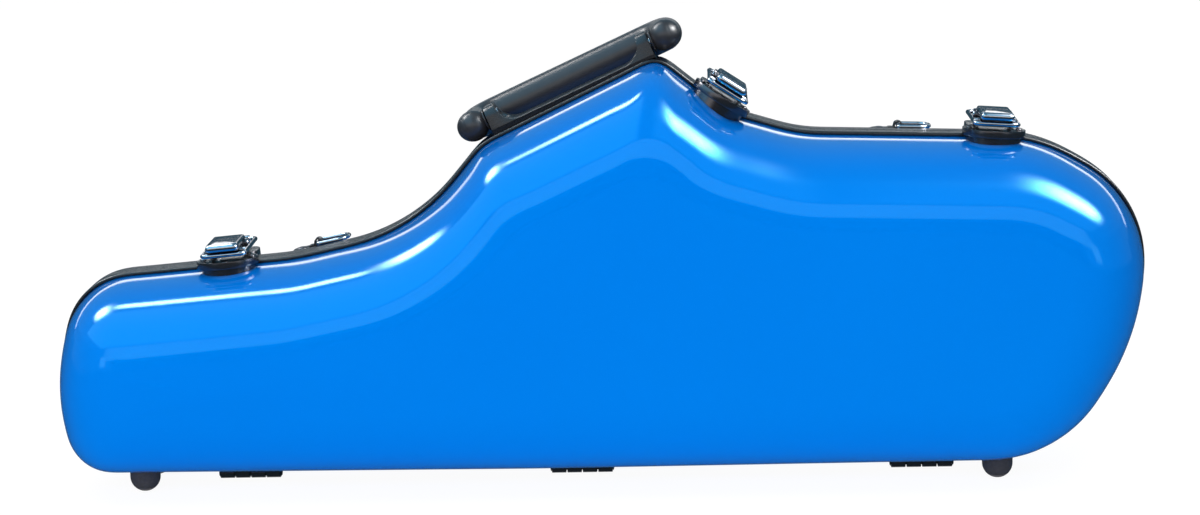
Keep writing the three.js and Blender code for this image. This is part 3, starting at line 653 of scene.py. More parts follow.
def seal_section():
    inner, outer = SEAL_MIDDLE - SEAL_WIDTH / 2, SEAL_MIDDLE + SEAL_WIDTH / 2
    top = SEAM + SEAL_HEIGHT
    corners = [(outer, SEAM), (inner, SEAM), (inner, top), (outer, top)]
    return rounded([(*corner, SEAL_ROUND) for corner in corners], 0.3 * MM)[0]


piece = skin(sweep(seal_section(), 1), loop=True)
finish_piece(piece, "seam_seal_cord", "seal_rubber", "base", "seam_seal", 60)

# %% [markdown]
# ## The plush linings
#
# Each shell holds a block of foam, cut to the horn and covered in plush, and it fits its shell
# tightly, so there is no sag to simulate. The CAD block has the right hollows, but knife edges.
# Foam under a stretched cloth has soft shoulders instead: the block is melted into small even
# cells, and relaxing those rounds every edge by a few millimetres while the broad faces stay put.

# %% Lining values
LINING_WELD = 0.01 * MM
LINING_CELL = 3.2 * MM
LINING_PASSES = 9


# %% Soften both linings
def soft_copy(node):
    """A merged copy of a CAD solid, melted into even cells and relaxed."""
    piece = nodes[node].copy()
    piece.data = nodes[node].data.copy()
    bpy.context.scene.collection.objects.link(piece)
    piece.parent = None
    piece.matrix_world = Matrix.Identity(4)
    activate(piece)
    edit_all(lambda: bpy.ops.mesh.remove_doubles(threshold=LINING_WELD))
    apply_modifier(piece, "REMESH", mode="VOXEL", voxel_size=LINING_CELL)
    apply_modifier(piece, "SMOOTH", factor=0.5, iterations=LINING_PASSES)
    return piece


def draw_into(piece, node):
    """Scales a piece to the box of the node that it stands for, so that relaxing costs no size."""
    low, high = (np.array(corner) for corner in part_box(node))
    spots = np.array([vertex.co for vertex in piece.data.vertices])
    size = (high - low) / np.ptp(spots, axis=0)
    spots = low + (spots - spots.min(axis=0)) * size
    piece.data.vertices.foreach_set("co", spots.reshape(-1))
    piece.data.update()


for name, side, body in HALVES:
    piece = soft_copy(f"{name}_lining")
    draw_into(piece, f"{name}_lining")
    finish_piece(piece, f"{name}_plush_lining", "plush", body, f"{name}_lining", 80)

# %% [markdown]
# ## Tools for the fittings
#
# The metal fittings are few kinds of work: a blank cut from plate, edges eased with a file, a
# hole drilled, a rod bent, a knob turned on a lathe. Each has a helper here, and a fitting is
# modelled at the origin with x along the case's edge, y towards the rear shell and z away from
# the edge. Then it is set on its seat.

# %% Tool values
SHARP = 0.1 * MM
EDGE = 0.05 * MM
DRILL_END = 1 * MM
DRILL_LENGTH = 60 * MM
SETTLE_START = 40 * MM
SETTLE_GAP = 0.1 * MM


# %% Plates and edges
def rectangle(half, near, far, near_round, far_round):
    """Four corners (x, y, radius), as far to the left as to the right."""
    low = [(-half, near, near_round), (half, near, near_round)]
    return low + [(half, far, far_round), (-half, far, far_round)]


def extrude(height):
    bpy.ops.mesh.extrude_region_move(TRANSFORM_OT_translate={"value": (0, 0, height)})


def plate(points, low, high):
    """A blank of (x, y) points, extruded from one height to another."""
    clear_selection()
    bpy.ops.mesh.primitive_circle_add(vertices=len(points), radius=1, fill_type="NGON")
    piece = bpy.context.active_object
    flat = np.column_stack([points, np.full(len(points), low)])
    piece.data.vertices.foreach_set("co", flat.reshape(-1))
    piece.data.update()
    edit_all(
        lambda: extrude(high - low),
        lambda: bpy.ops.mesh.select_all(action="SELECT"),
        lambda: bpy.ops.mesh.normals_make_consistent(inside=False),
    )
    return piece


def placed(piece, matrix):
    """Moves a piece for good, with its object left at the origin."""
    activate(piece)
    piece.matrix_world = matrix
    bpy.ops.object.transform_apply(location=True, rotation=True, scale=True)
    return piece


def stood_up(piece, columns):
    """Turns a piece for good, so that its x, y and z run along the given directions."""
    return placed(piece, Matrix(columns).transposed().to_4x4())


def side_plate(points, width, place=0.0):
    """A shape of (y, z) points, as wide as given along x."""
    piece = plate(points, place - width / 2, place + width / 2)
    return stood_up(piece, ((0, 1, 0), (0, 0, 1), (1, 0, 0)))


def front_plate(points, near, far):
    """A shape of (x, z) points, from one depth to another along y."""
    piece = plate(points, -far, -near)
    return stood_up(piece, ((1, 0, 0), (0, 0, 1), (0, -1, 0)))


def ease(piece, wanted, width, segments):
    """Rounds the picked edges."""
    pick(piece, "EDGE", wanted)
    bpy.ops.mesh.bevel(offset=width, segments=segments, affect="EDGES")
    bpy.ops.mesh.select_mode(type="VERT")
    bpy.ops.object.mode_set(mode="OBJECT")


def at_height(height):
    """Picks what lies at one height."""
    return lambda corners: all(abs(corner.z - height) < HAIR for corner in corners)


# %% Drills, welds and rods
def work(piece, operation, *tools):
    """Cuts tools out of a piece, or welds them to it, and puts them away."""
    for tool in tools:
        apply_modifier(piece, "BOOLEAN", object=tool, operation=operation, solver="EXACT")
        bpy.data.objects.remove(tool)
    return piece


def round_turns(sides):
    return np.arange(sides) * 2 * math.pi / sides


def wire(path, width, height, up=(0, 0, 1), sides=24, loop=False):
    """A rod along a path. Its width and height may differ from point to point."""
    path = np.asarray(path, float)
    around = np.roll(path, -1, axis=0) - np.roll(path, 1, axis=0)
    onward = unit(around if loop else np.gradient(path, axis=0))
    across = unit(np.cross(up, onward))
    above = np.cross(onward, across)
    turns = round_turns(sides)
    wide = np.broadcast_to(width, len(path))[:, None, None] / 2 * np.cos(turns)[None, :, None]
    tall = np.broadcast_to(height, len(path))[:, None, None] / 2 * np.sin(turns)[None, :, None]
    return skin(path[:, None] + across[:, None] * wide + above[:, None] * tall, loop)


def rod(length, size, place, end, sides=32):
    """A rod along x with rounded ends, `end` long each. Its size is its thickness, or (y, z)."""
    turn = np.linspace(0.05, math.pi / 2, 8)
    reach = length / 2 - end + end * np.cos(turn)
    share = np.sin(turn)
    along = np.concatenate([-reach, reach[::-1]])
    thick = np.concatenate([share, share[::-1]])
    width, height = np.broadcast_to(size, 2)
    return wire([(x, *place) for x in along], thick * width, thick * height, sides=sides)


def drill(thick, place, length=DRILL_LENGTH):
    """A rod that cuts a bore along x."""
    return rod(length, thick, place, DRILL_END)


def turned_bar(spots, place, sides):
    """A bar along x, turned on a lathe to (x, radius) spots."""
    along, radii = np.transpose(spots)
    return wire([(x, *place) for x in along], 2 * radii, 2 * radii, sides=sides)


def lathe(profile, sides=48):
    """A round piece about the z axis, from (radius, height) points."""
    turns = round_turns(sides)
    circle = np.stack([np.cos(turns), np.sin(turns), np.zeros(sides)], axis=1)
    return skin([radius * circle + (0, 0, height) for radius, height in profile])


def moved(piece, x, y=0, z=0):
    piece.data.transform(Matrix.Translation((x, y, z)))
    return piece


def dome(radius, height, place, skirt=0.5 * MM):
    """A rivet's or a screw's domed head, with its foot sunk by a skirt."""
    turn = np.linspace(0, math.pi / 2, 8)
    profile = [(radius, -skirt)] + [(radius * math.cos(t), height * math.sin(t)) for t in turn[:-1]]
    return moved(lathe(profile + [(0.02 * radius, height)], 32), *place)


def mirrored(piece, signs):
    """Mirrors a piece through the origin's planes and turns its faces outward again."""
    piece.data.transform(Matrix.Diagonal((*signs, 1)))
    piece.data.flip_normals()
    return piece


# %% Seats
def seat_at(place, along):
    """A fitting's frame: x along the edge, y towards the rear shell, z away from the edge."""
    along = Vector(along).normalized()
    up = Vector((-along.z, 0, along.x))
    return Matrix.Translation(place) @ Matrix((along, (0, 1, 0), up)).transposed().to_4x4()


def seat_under(joint, sense, depth, height):
    """The seat below a pivot that is as deep and as high as given in the fitting's own frame."""
    along = Vector(joints[joint]["axis"]) * sense
    return seat_at(Vector(joints[joint]["pos_m"]), along) @ Matrix.Translation((0, -depth, -height))


def set_copy(model, seat):
    """A copy of a model with its own mesh, set on a seat for good."""
    piece = model.copy()
    piece.data = model.data.copy()
    bpy.context.scene.collection.objects.link(piece)
    return placed(piece, seat)


def below(height):
    """Picks corners below a height in the seat's frame."""
    return lambda z: z < height


def settle(piece, seat, wanted, carriers, start_height=SETTLE_START):
    """Sends the corners at wanted heights in the seat's frame onto the nearest carrier."""
    back = seat.inverted()
    down = seat.to_3x3() @ Vector((0, 0, -math.copysign(1, start_height)))
    for vertex in piece.data.vertices:
        spot = back @ vertex.co
        if not wanted(spot.z):
            continue
        start = seat @ Vector((spot.x, spot.y, start_height))
        hits = [carrier.ray_cast(start, down) for carrier in carriers]
        places = [hit[1] for hit in hits if hit[0]]
        if places:
            nearest = min(places, key=lambda place: (place - start).length)
            vertex.co = nearest - down * SETTLE_GAP
    piece.data.update()


def fit(models, seat, suffix="", angle=35):
    """Sets a copy of each model on a seat, settles it where its row says on what, and finishes it.

    Alike sets differ in a suffix, which the moving bodies of a set have in their names too.
    """
    for model, name, slot, body, node, *rest in models:
        piece = set_copy(model, seat)
        if rest:
            settle(piece, seat, *rest)
        rides = body + suffix if body in ("lever", "bail", "ring") else body
        finish_piece(piece, name + suffix, slot, rides, node + suffix, angle)


def put_away(models):
    for model, *rest in models:
        bpy.data.objects.remove(model)


moulding = {name: bpy.data.objects[f"{name}_shell_moulding"] for name in ("front", "rear")}
profile = {name: bpy.data.objects[f"{name}_edge_profile"] for name in ("front", "rear")}
print("carriers:", [thing.name for thing in (*moulding.values(), *profile.values())])

# %% [markdown]
# ## The draw latches
#
# A draw latch pulls two parts together: a lever on the lid swings a bail over a lug on the rear
# shell, and past its dead centre it holds. All of it is open to view, so every piece is modelled:
# a pressed disc with lugs and rivets, a lever with a rolled nose, side walls and a stamped
# groove, a pin, a wire bail with flattened arms and a roll, and the keeper. The latch is modelled
# once, and three copies are set on their seats.

# %% Latch values
LATCHES = ("left", "middle", "right")
LEVER_PIVOT = (-5 * MM, 12.6 * MM)
BAIL_PIVOT = (-20 * MM, 11.2 * MM)
PIN_SIZE = (1.5 * MM, 2.3 * MM, 0.8 * MM)
PIN_BORE = 3.6 * MM
DISC_LENGTH = 37 * MM
DISC_FRONT = -36 * MM
DISC_BACK = -2 * MM
DISC_MIDDLE = (DISC_FRONT + DISC_BACK) / 2
DISC_LOW = RIM_PROUD + CLEAR
DISC_TOP = DISC_LOW + 4.4 * MM
DISC_RAISED = 1.1 * MM
DISC_SUNK = 0.45 * MM
DISC_ROUND = (0.4 * MM, 0.35 * MM)
FRONT_RIVET = (2.5 * MM, 1.1 * MM)
FRONT_RIVET_PLACE = DISC_FRONT + 4.6 * MM
SIDE_RIVET = (1.9 * MM, 1.5 * MM)
SIDE_RIVET_PLACE = 14.6 * MM
SPACER_INSET = 2.5 * MM
SKIRT = 9 * MM
LUG_THICK = 1.2 * MM
LUG_RADIUS = 3.4 * MM
LEVER_WIDTH = 19 * MM
LEVER_FRONT = -38 * MM
LEVER_BACK = -3 * MM
LEVER_TOP = 18 * MM
LEVER_LOW = 13.6 * MM
LEVER_SHEET = 1.3 * MM
NOSE = (4.4 * MM, 4.6 * MM)
NOSE_LONGER = 0.6 * MM
NOSE_DROP = 0.35 * MM
NOSE_END = 3.2 * MM
CHEEK = 1.5 * MM
CHEEK_LOW = 8.6 * MM
CHEEK_FRONT = -31 * MM
CHEEK_BEND = -25 * MM
CHEEK_TOP = LEVER_TOP - 1.6 * MM
GROOVE = (13 * MM, 1.3 * MM, 0.7 * MM)
GROOVE_PLACE = (1.5 * MM, -17 * MM)
DOT = (1.3 * MM, 1.2 * MM)
DOT_GAP = 1.9 * MM
WIRE = 2.7 * MM
CROSS_ROD = 2.6 * MM
CROSS_BORE = 3.3 * MM
ARM = (1.7 * MM, 3.2 * MM)
ROLL = 4.3 * MM
BAIL_HALF = 12.7 * MM
BAIL_FRONT = -34 * MM
BAIL_FAR = (17 * MM, 11.6 * MM)
BAIL_CORNER = 3.2 * MM
FLATTENING = (2 * MM, 4 * MM)
PLAY = 0.3 * MM
KEEPER_HALF = 14 * MM
KEEPER_FRONT = 2.5 * MM
KEEPER_BACK = 24 * MM
KEEPER_TOP = 5.6 * MM
KEEPER_ROUND = 5 * MM
KEEPER_LUG = (18 * MM, 3.6 * MM, 13 * MM)
KEEPER_RIVET = (2.2 * MM, 0.8 * MM)
KEEPER_RIVET_PLACE = (8 * MM, KEEPER_BACK - 4.4 * MM)


# %% The disc with its lugs and rivets
def oval(inset, count=96):
    half = (DISC_BACK - DISC_FRONT) / 2
    turns = round_turns(count)
    across = (DISC_LENGTH / 2 - inset) * np.cos(turns)
    return np.stack([across, DISC_MIDDLE + (half - inset) * np.sin(turns)], axis=1)


def latch_disc():
    disc = plate(oval(0), DISC_LOW, DISC_TOP)
    pick(disc, "FACE", at_height(DISC_TOP))
    bpy.ops.mesh.inset(thickness=DISC_RAISED)
    bpy.ops.transform.translate(value=(0, 0, -DISC_SUNK))
    bpy.ops.object.mode_set(mode="OBJECT")
    ease(disc, at_height(DISC_TOP), DISC_ROUND[1], 3)
    ease(disc, at_height(DISC_LOW), DISC_ROUND[0], 2)
    spacer = plate(oval(SPACER_INSET), -SKIRT, DISC_LOW + 0.5 * MM)
    depth, height = LEVER_PIVOT
    low = DISC_TOP - 1.5 * MM
    shape = [
        (depth - LUG_RADIUS, low, SHARP),
        (depth - LUG_RADIUS, height + LUG_RADIUS, LUG_RADIUS),
        (depth + LUG_RADIUS, height + LUG_RADIUS, LUG_RADIUS),
        (depth + LUG_RADIUS, low, SHARP),
    ]
    place = (LEVER_WIDTH + LUG_THICK) / 2 + PLAY
    outline = rounded(shape, 0.5 * MM)[0]
    lugs = [side_plate(outline, LUG_THICK, x) for x in (-place, place)]
    floor = DISC_TOP - DISC_SUNK
    heads = [dome(*FRONT_RIVET, (0, FRONT_RIVET_PLACE, floor))]
    heads += [dome(*SIDE_RIVET, (side * SIDE_RIVET_PLACE, DISC_MIDDLE, floor)) for side in (-1, 1)]
    work(disc, "UNION", spacer, *lugs, *heads)
    return work(disc, "DIFFERENCE", drill(PIN_BORE, LEVER_PIVOT))


# %% The lever
def lever():
    plan = rectangle(LEVER_WIDTH / 2, LEVER_FRONT + 0.9 * MM, LEVER_BACK, 3.6 * MM, 2 * MM)
    tray = plate(rounded(plan, 0.8 * MM)[0], LEVER_LOW, LEVER_TOP)
    ease(tray, at_height(LEVER_TOP), 1.4 * MM, 5)
    pick(tray, "FACE", at_height(LEVER_LOW))
    bpy.ops.mesh.inset(thickness=LEVER_SHEET)
    extrude(LEVER_TOP - LEVER_LOW - LEVER_SHEET)
    bpy.ops.mesh.select_all(action="SELECT")
    bpy.ops.mesh.normals_make_consistent(inside=False)
    bpy.ops.object.mode_set(mode="OBJECT")
    depth, height = LEVER_PIVOT
    round_end = height - CHEEK_LOW
    shape = [
        (CHEEK_FRONT, LEVER_LOW + 1.5 * MM, 0.5 * MM),
        (CHEEK_BEND, CHEEK_LOW, 4 * MM),
        (depth + round_end, CHEEK_LOW, round_end),
        (depth + round_end, LEVER_LOW + 0.5 * MM, 1 * MM),
        (LEVER_BACK - 0.4 * MM, CHEEK_TOP, 0.4 * MM),
        (CHEEK_FRONT, CHEEK_TOP, 0.4 * MM),
    ]
    outline = rounded(shape, 0.6 * MM)[0]
    place = (LEVER_WIDTH - CHEEK) / 2
    cheeks = [side_plate(outline, CHEEK, x) for x in (-place, place)]
    spot = (LEVER_FRONT + NOSE[0] / 2, LEVER_LOW + NOSE[1] / 2 - NOSE_DROP)
    nose = rod(LEVER_WIDTH + NOSE_LONGER, NOSE, spot, NOSE_END)
    work(tray, "UNION", *cheeks, nose)
    long, wide, deep = GROOVE
    spot = (GROOVE_PLACE[1], LEVER_TOP)
    groove = moved(rod(long, (wide, 2 * deep), spot, wide / 2), GROOVE_PLACE[0])
    dot = rod(DOT[0], (DOT[1], 2 * deep), spot, DOT[1] / 2)
    moved(dot, GROOVE_PLACE[0] - long / 2 - DOT_GAP)
    bores = [drill(PIN_BORE, LEVER_PIVOT), drill(CROSS_BORE, BAIL_PIVOT)]
    return work(tray, "DIFFERENCE", groove, dot, *bores)


# %% The pin, the bail and the keeper
def pin_with_heads(shank, radius, head, thick, place):
    """A pin along x: a shank between two domed heads."""
    turn = np.linspace(0, math.pi / 2, 6)
    right = [(shank / 2 - 0.01 * MM, radius)]
    right += [(shank / 2 + thick * math.sin(t), head * math.cos(t)) for t in turn[:-1]]
    right += [(shank / 2 + thick, 0.05 * head)]
    return turned_bar([(-x, r) for x, r in reversed(right)] + right, place, 28)


def bail():
    slope = (BAIL_FAR[1] - BAIL_PIVOT[1]) / (BAIL_FAR[0] - BAIL_PIVOT[0])
    corners = rectangle(BAIL_HALF, BAIL_FRONT, BAIL_FAR[0], BAIL_CORNER, BAIL_CORNER)
    flat = rounded(corners, 0.9 * MM)[0]
    path = np.column_stack([flat, BAIL_PIVOT[1] + (flat[:, 1] - BAIL_PIVOT[0]) * slope])
    from_bars = np.minimum(flat[:, 1] - BAIL_FRONT, BAIL_FAR[0] - flat[:, 1])
    on_arm = np.clip((from_bars - FLATTENING[0]) / FLATTENING[1], 0, 1)
    on_arm = on_arm * on_arm * (3 - 2 * on_arm)
    width = WIRE + (ARM[0] - WIRE) * on_arm
    height = WIRE + (ARM[1] - WIRE) * on_arm
    loop = wire(path, width, height, (0, -slope, 1), 24, True)
    roll_length = 2 * (BAIL_HALF - BAIL_CORNER)
    roller = rod(roll_length, ROLL, BAIL_FAR, 1.2 * MM)
    cross = rod(2 * BAIL_HALF, CROSS_ROD, BAIL_PIVOT, 0.6 * MM)
    return work(loop, "UNION", roller, cross)


def keeper():
    corners = rectangle(KEEPER_HALF, KEEPER_FRONT, KEEPER_BACK, KEEPER_ROUND, KEEPER_ROUND)
    body = plate(rounded(corners, 1 * MM)[0], -SKIRT, KEEPER_TOP)
    ease(body, at_height(KEEPER_TOP), 0.7 * MM, 3)
    wide, thick, top = KEEPER_LUG
    back = BAIL_FAR[0] - ROLL / 2 - PLAY
    shape = [
        (back - thick - 2 * MM, KEEPER_TOP - 1 * MM, SHARP),
        (back - thick, KEEPER_TOP + 1 * MM, 2 * MM),
        (back - thick, top, 1.7 * MM),
        (back, top, 1.2 * MM),
        (back, KEEPER_TOP - 1 * MM, SHARP),
    ]
    lug = side_plate(rounded(shape, 0.5 * MM)[0], wide)
    ease(lug, lambda ends: abs(ends[0].x - ends[1].x) < HAIR, 0.6 * MM, 3)
    x, depth = KEEPER_RIVET_PLACE
    heads = [dome(*KEEPER_RIVET, (side * x, depth, KEEPER_TOP)) for side in (-1, 1)]
    return work(body, "UNION", lug, *heads)


# %% Set three latches
pin_span = LEVER_WIDTH + 2 * (LUG_THICK + PLAY)
latch_pin = pin_with_heads(pin_span, *PIN_SIZE, LEVER_PIVOT)
front_half, rear_half = ((moulding[name], profile[name]) for name in ("front", "rear"))
latch_models = (
    (latch_disc(), "latch_disc", "black_steel", "lid", "latch_base", below(0), front_half),
    (latch_pin, "latch_pivot_pin", "dark_chrome", "lid", "latch_pin"),
    (lever(), "latch_nose_lever", "dark_chrome", "lever", "latch_lever"),
    (bail(), "latch_wire_bail", "dark_chrome", "bail", "latch_bail"),
    (keeper(), "latch_keeper_plate", "black_steel", "base", "keeper", below(0), rear_half),
)
for place in LATCHES:
    fit(latch_models, seat_under(f"lever_{place}_pivot", -1, *LEVER_PIVOT), f"_{place}")
put_away(latch_models)

# %% [markdown]
# ## The carrying handle
#
# The bracket is one moulding that rides on the edge profile: a thin strip with an ear at each
# end, and a broad fillet between them. Two pins go through the ears into the grip's egg-shaped
# ends. The grip is soft rubber over a core, a swept bar that swells from its arms to its middle.
# The bracket is cut twice, once to its front view and once to its end view, as from a block on a
# bandsaw.

# %% Handle values
HANDLE_PIVOT = (3 * MM, 11.1 * MM)
HANDLE_SPAN = 126.6 * MM
EGG = (9.8 * MM, 9.3 * MM)
EAR_THICK = 6.4 * MM
EAR_ROUND = 1.2 * MM
EAR_RADIUS = 7.8 * MM
EAR_FILLET = 13 * MM
EAR_OUTER = HANDLE_SPAN / 2 - EGG[0] - CLEAR
STRIP_THICK = 2.4 * MM
STRIP_HALF = 11 * MM
CAP_LINE = (0.38 * EGG[0], 0.35 * MM, 0.1 * MM)
NECK_RING = (2.2 * MM, 13.4 * MM, 0.8 * MM)
NECK_RING_GAP = 1.3 * MM
PIN_HEAD = (4.2 * MM, 1.2 * MM)
PIN_SHANK = (5 * MM, 17 * MM)
SHAFT_BORE = PIN_SHANK[0] + 2 * CLEAR
GRIP_REACH = 39 * MM
GRIP_THICK = 20.8 * MM
ARM_THICK = 15.2 * MM
GRIP_CORNER = 16 * MM
GRIP_TOUCH_SHARE = 0.33


# %% The bracket
def bracket():
    floor = RIM_PROUD + CLEAR + STRIP_THICK
    top = HANDLE_PIVOT[1] + EAR_RADIUS
    inner = EAR_OUTER - EAR_THICK
    low = RIM_PROUD
    front = [
        (-EAR_OUTER, low, EDGE),
        (EAR_OUTER, low, EDGE),
        (EAR_OUTER, top, EAR_ROUND),
        (inner, top, EAR_ROUND),
        (inner, floor, EAR_FILLET),
        (-inner, floor, EAR_FILLET),
        (-inner, top, EAR_ROUND),
        (-EAR_OUTER, top, EAR_ROUND),
    ]
    near, far = HANDLE_PIVOT[0] - STRIP_HALF, HANDLE_PIVOT[0] + STRIP_HALF
    body = front_plate(rounded(front, 2 * MM)[0], near, far)
    end = [
        (near, low - 1 * MM, EDGE),
        (far, low - 1 * MM, EDGE),
        (far, floor, 1.0 * MM),
        (HANDLE_PIVOT[0] + EAR_RADIUS, HANDLE_PIVOT[1] + EAR_RADIUS, EAR_RADIUS),
        (HANDLE_PIVOT[0] - EAR_RADIUS, HANDLE_PIVOT[1] + EAR_RADIUS, EAR_RADIUS),
        (near, floor, 1.0 * MM),
    ]
    body = work(body, "INTERSECT", side_plate(rounded(end, 0.8 * MM)[0], 2 * HANDLE_SPAN))
    recess = rod(2 * inner, 2 * PIN_HEAD[0] + 2 * CLEAR, HANDLE_PIVOT, 0.2 * MM)
    work(body, "DIFFERENCE", drill(SHAFT_BORE, HANDLE_PIVOT, 2 * HANDLE_SPAN), recess)
    limit = {"limit_method": "ANGLE", "angle_limit": math.radians(40)}
    apply_modifier(body, "BEVEL", width=0.55 * MM, segments=3, **limit)
    return body


# %% The grip
def egg(side):
    """An egg-shaped end, its neck ring and the line where its cap is set."""
    half, radius = EGG
    turn = np.linspace(0.04, math.pi - 0.04, 60)
    along = -np.cos(turn) * half
    thick = np.sin(turn) * radius
    place, wide, deep = CAP_LINE
    thick -= deep * np.exp(-(((along - place) / wide) ** 2))
    ball = turned_bar(np.column_stack([HANDLE_SPAN / 2 + along, thick]), HANDLE_PIVOT, 48)
    long, wide, end = NECK_RING
    ring = rod(long, wide, HANDLE_PIVOT, end, 40)
    work(ball, "UNION", moved(ring, EAR_OUTER + CLEAR + NECK_RING_GAP))
    return ball if side > 0 else mirrored(ball, (-1, 1, 1))


def grip_route(low):
    """The grip's middle line, from one egg back over the bar to the other."""
    half, far = HANDLE_SPAN / 2, HANDLE_PIVOT[0] + GRIP_REACH
    bend = [(-half, HANDLE_PIVOT[0])]
    turn = np.linspace(0, math.pi / 2, 14)
    bend += [(-half, y) for y in np.linspace(HANDLE_PIVOT[0], far - GRIP_CORNER, 8)[1:-1]]
    x, y = -half + GRIP_CORNER, far - GRIP_CORNER
    bend += [(x - GRIP_CORNER * math.cos(t), y + GRIP_CORNER * math.sin(t)) for t in turn]
    bar = [(x, far) for x in np.linspace(-half + GRIP_CORNER, half - GRIP_CORNER, 40)[1:-1]]
    flat = np.array(bend + bar + [(-x, y) for x, y in reversed(bend)])
    fall = (flat[:, 1] - HANDLE_PIVOT[0]) / GRIP_REACH
    height = HANDLE_PIVOT[1] + (low - HANDLE_PIVOT[1]) * fall
    return np.column_stack([flat, height]), fall


def grip(low):
    route, fall = grip_route(low)
    swell = fall * fall * (3 - 2 * fall)
    thick = ARM_THICK + (GRIP_THICK - ARM_THICK) * swell
    slope = (HANDLE_PIVOT[1] - low) / GRIP_REACH
    bar = wire(route, thick, thick, (0, slope, 1), 40)
    inner = EAR_OUTER - EAR_THICK - PIN_HEAD[1] + PIN_SHANK[1]
    work(bar, "UNION", egg(-1), egg(1))
    return work(bar, "DIFFERENCE", rod(2 * inner, SHAFT_BORE, HANDLE_PIVOT, 0.2 * MM))


def handle_pin(side):
    head, thick = PIN_HEAD
    start = EAR_OUTER - EAR_THICK - CLEAR - thick
    turn = np.linspace(0.06, math.pi / 2, 7)
    spots = [(start + 0.8 * thick * (1 - math.cos(t)), head * math.sin(t)) for t in turn]
    spots += [(start + thick, head), (start + thick + 0.01 * MM, PIN_SHANK[0] / 2)]
    spots += [(start + PIN_SHANK[1], PIN_SHANK[0] / 2)]
    pin = turned_bar(spots, HANDLE_PIVOT, 32)
    return pin if side > 0 else mirrored(pin, (-1, 1, 1))


# %% Set the handle
def skin_height(seat, x, y, carrier):
    """How high a surface lies in a seat's frame."""
    down = seat.to_3x3() @ Vector((0, 0, -1))
    place = carrier.ray_cast(seat @ Vector((x, y, SETTLE_START)), down)[1]
    return (seat.inverted() @ place).z


seat = seat_under("handle_pivot", 1, *HANDLE_PIVOT)
touch = HANDLE_PIVOT[0] + GRIP_REACH - GRIP_TOUCH_SHARE * GRIP_THICK / 2
bar_height = skin_height(seat, 0, touch, moulding["rear"]) + GRIP_THICK / 2 + CLEAR
both_halves = (profile["front"], profile["rear"], moulding["rear"])
strip = (bracket(), "handle_bracket_moulding", "rim_profile", "base", "handle_bracket")
handle_models = (
    (*strip, below(RIM_PROUD + 0.2 * MM), both_halves),
    (handle_pin(-1), "handle_pin_stud_left", "dark_chrome", "base", "handle_pin_left"),
    (handle_pin(1), "handle_pin_stud_right", "dark_chrome", "base", "handle_pin_right"),
    (grip(bar_height), "handle_rubber_grip", "grip_rubber", "handle", "handle_grip"),
)
fit(handle_models, seat, angle=38)
put_away(handle_models)

# %% [markdown]
# ## Strap rings
#
# A riveted saddle on the rear shell holds a D-shaped ring for a shoulder strap. The saddle is a
# thin pressing that follows the shell, with a low arch for the ring, and the ring is bent wire.
# Its seat is the chord of the edge under it, so it lies flat on the slope.

# %% Strap ring values
BOTH_ENDS = ("left", "right")
RING_DEPTH = 20 * MM
RING_PIVOT = 3 * MM
SADDLE = (33 * MM, 13 * MM)
SADDLE_ROUND = 5 * MM
SADDLE_TOP = 1.2 * MM
SADDLE_SKIRT = 5 * MM
SADDLE_RIVET = (3.4 * MM, 1.0 * MM)
SADDLE_RIVET_PLACE = 11.2 * MM
ARCH_WIDE = 6.6 * MM
ARCH_BORE = 1.8 * MM
ARCH_WALL = 0.9 * MM
ARCH_FOOT = 3.4 * MM
RING_WIRE = 2.4 * MM
RING_HALF = 8 * MM
RING_REACH = 18.6 * MM
RING_CORNER = 6.5 * MM


# %% The saddle and the ring
def saddle():
    long, wide = SADDLE[0] / 2, SADDLE[1] / 2
    plan = rectangle(long, -wide, wide, SADDLE_ROUND, SADDLE_ROUND)
    body = plate(rounded(plan, 0.8 * MM)[0], -SADDLE_SKIRT, SADDLE_TOP)
    ease(body, at_height(SADDLE_TOP), 0.45 * MM, 3)
    outer = ARCH_BORE + ARCH_WALL
    lap = SADDLE_TOP + ARCH_WALL
    left = [
        (-outer - ARCH_FOOT, SADDLE_TOP - 0.3 * MM, SHARP),
        (-outer - ARCH_FOOT, lap, 0.4 * MM),
        (-outer, lap, 0.7 * MM),
        (-outer, RING_PIVOT + outer, outer),
    ]
    shape = left + [(-x, z, radius) for x, z, radius in reversed(left)]
    arch = front_plate(rounded(shape, 0.4 * MM)[0], -ARCH_WIDE / 2, ARCH_WIDE / 2)
    heads = [dome(*SADDLE_RIVET, (side * SADDLE_RIVET_PLACE, 0, SADDLE_TOP)) for side in (-1, 1)]
    work(body, "UNION", arch, *heads)
    bore = drill(2 * ARCH_BORE, (0, RING_PIVOT), 40 * MM)
    work(body, "DIFFERENCE", stood_up(bore, ((0, 1, 0), (-1, 0, 0), (0, 0, 1))))
    return moved(body, 0, RING_DEPTH)


def strap_ring():
    corners = [
        (0, -RING_HALF, 1.4 * MM),
        (RING_REACH, -RING_HALF, RING_CORNER),
        (RING_REACH, RING_HALF, RING_CORNER),
        (0, RING_HALF, 1.4 * MM),
    ]
    flat = rounded(corners, 0.6 * MM)[0]
    path = np.column_stack([flat[:, 0], flat[:, 1] + RING_DEPTH, np.full(len(flat), RING_PIVOT)])
    return wire(path, RING_WIRE, RING_WIRE, loop=True)


# %% Set both rings
def chord_seat(pivot):
    """The seat on the edge below a pivot, along the chord that the saddle spans."""
    spots = (pivot[0] - SADDLE[0] / 2, pivot[0] + SADDLE[0] / 2)
    ends = [Vector((x, 0, np.interp(x, *upper_edge(edge).T))) for x in spots]
    seat = seat_at((0, 0, 0), ends[1] - ends[0])
    seat.translation = Vector(pivot) - seat.to_3x3() @ Vector((0, RING_DEPTH, RING_PIVOT))
    return seat


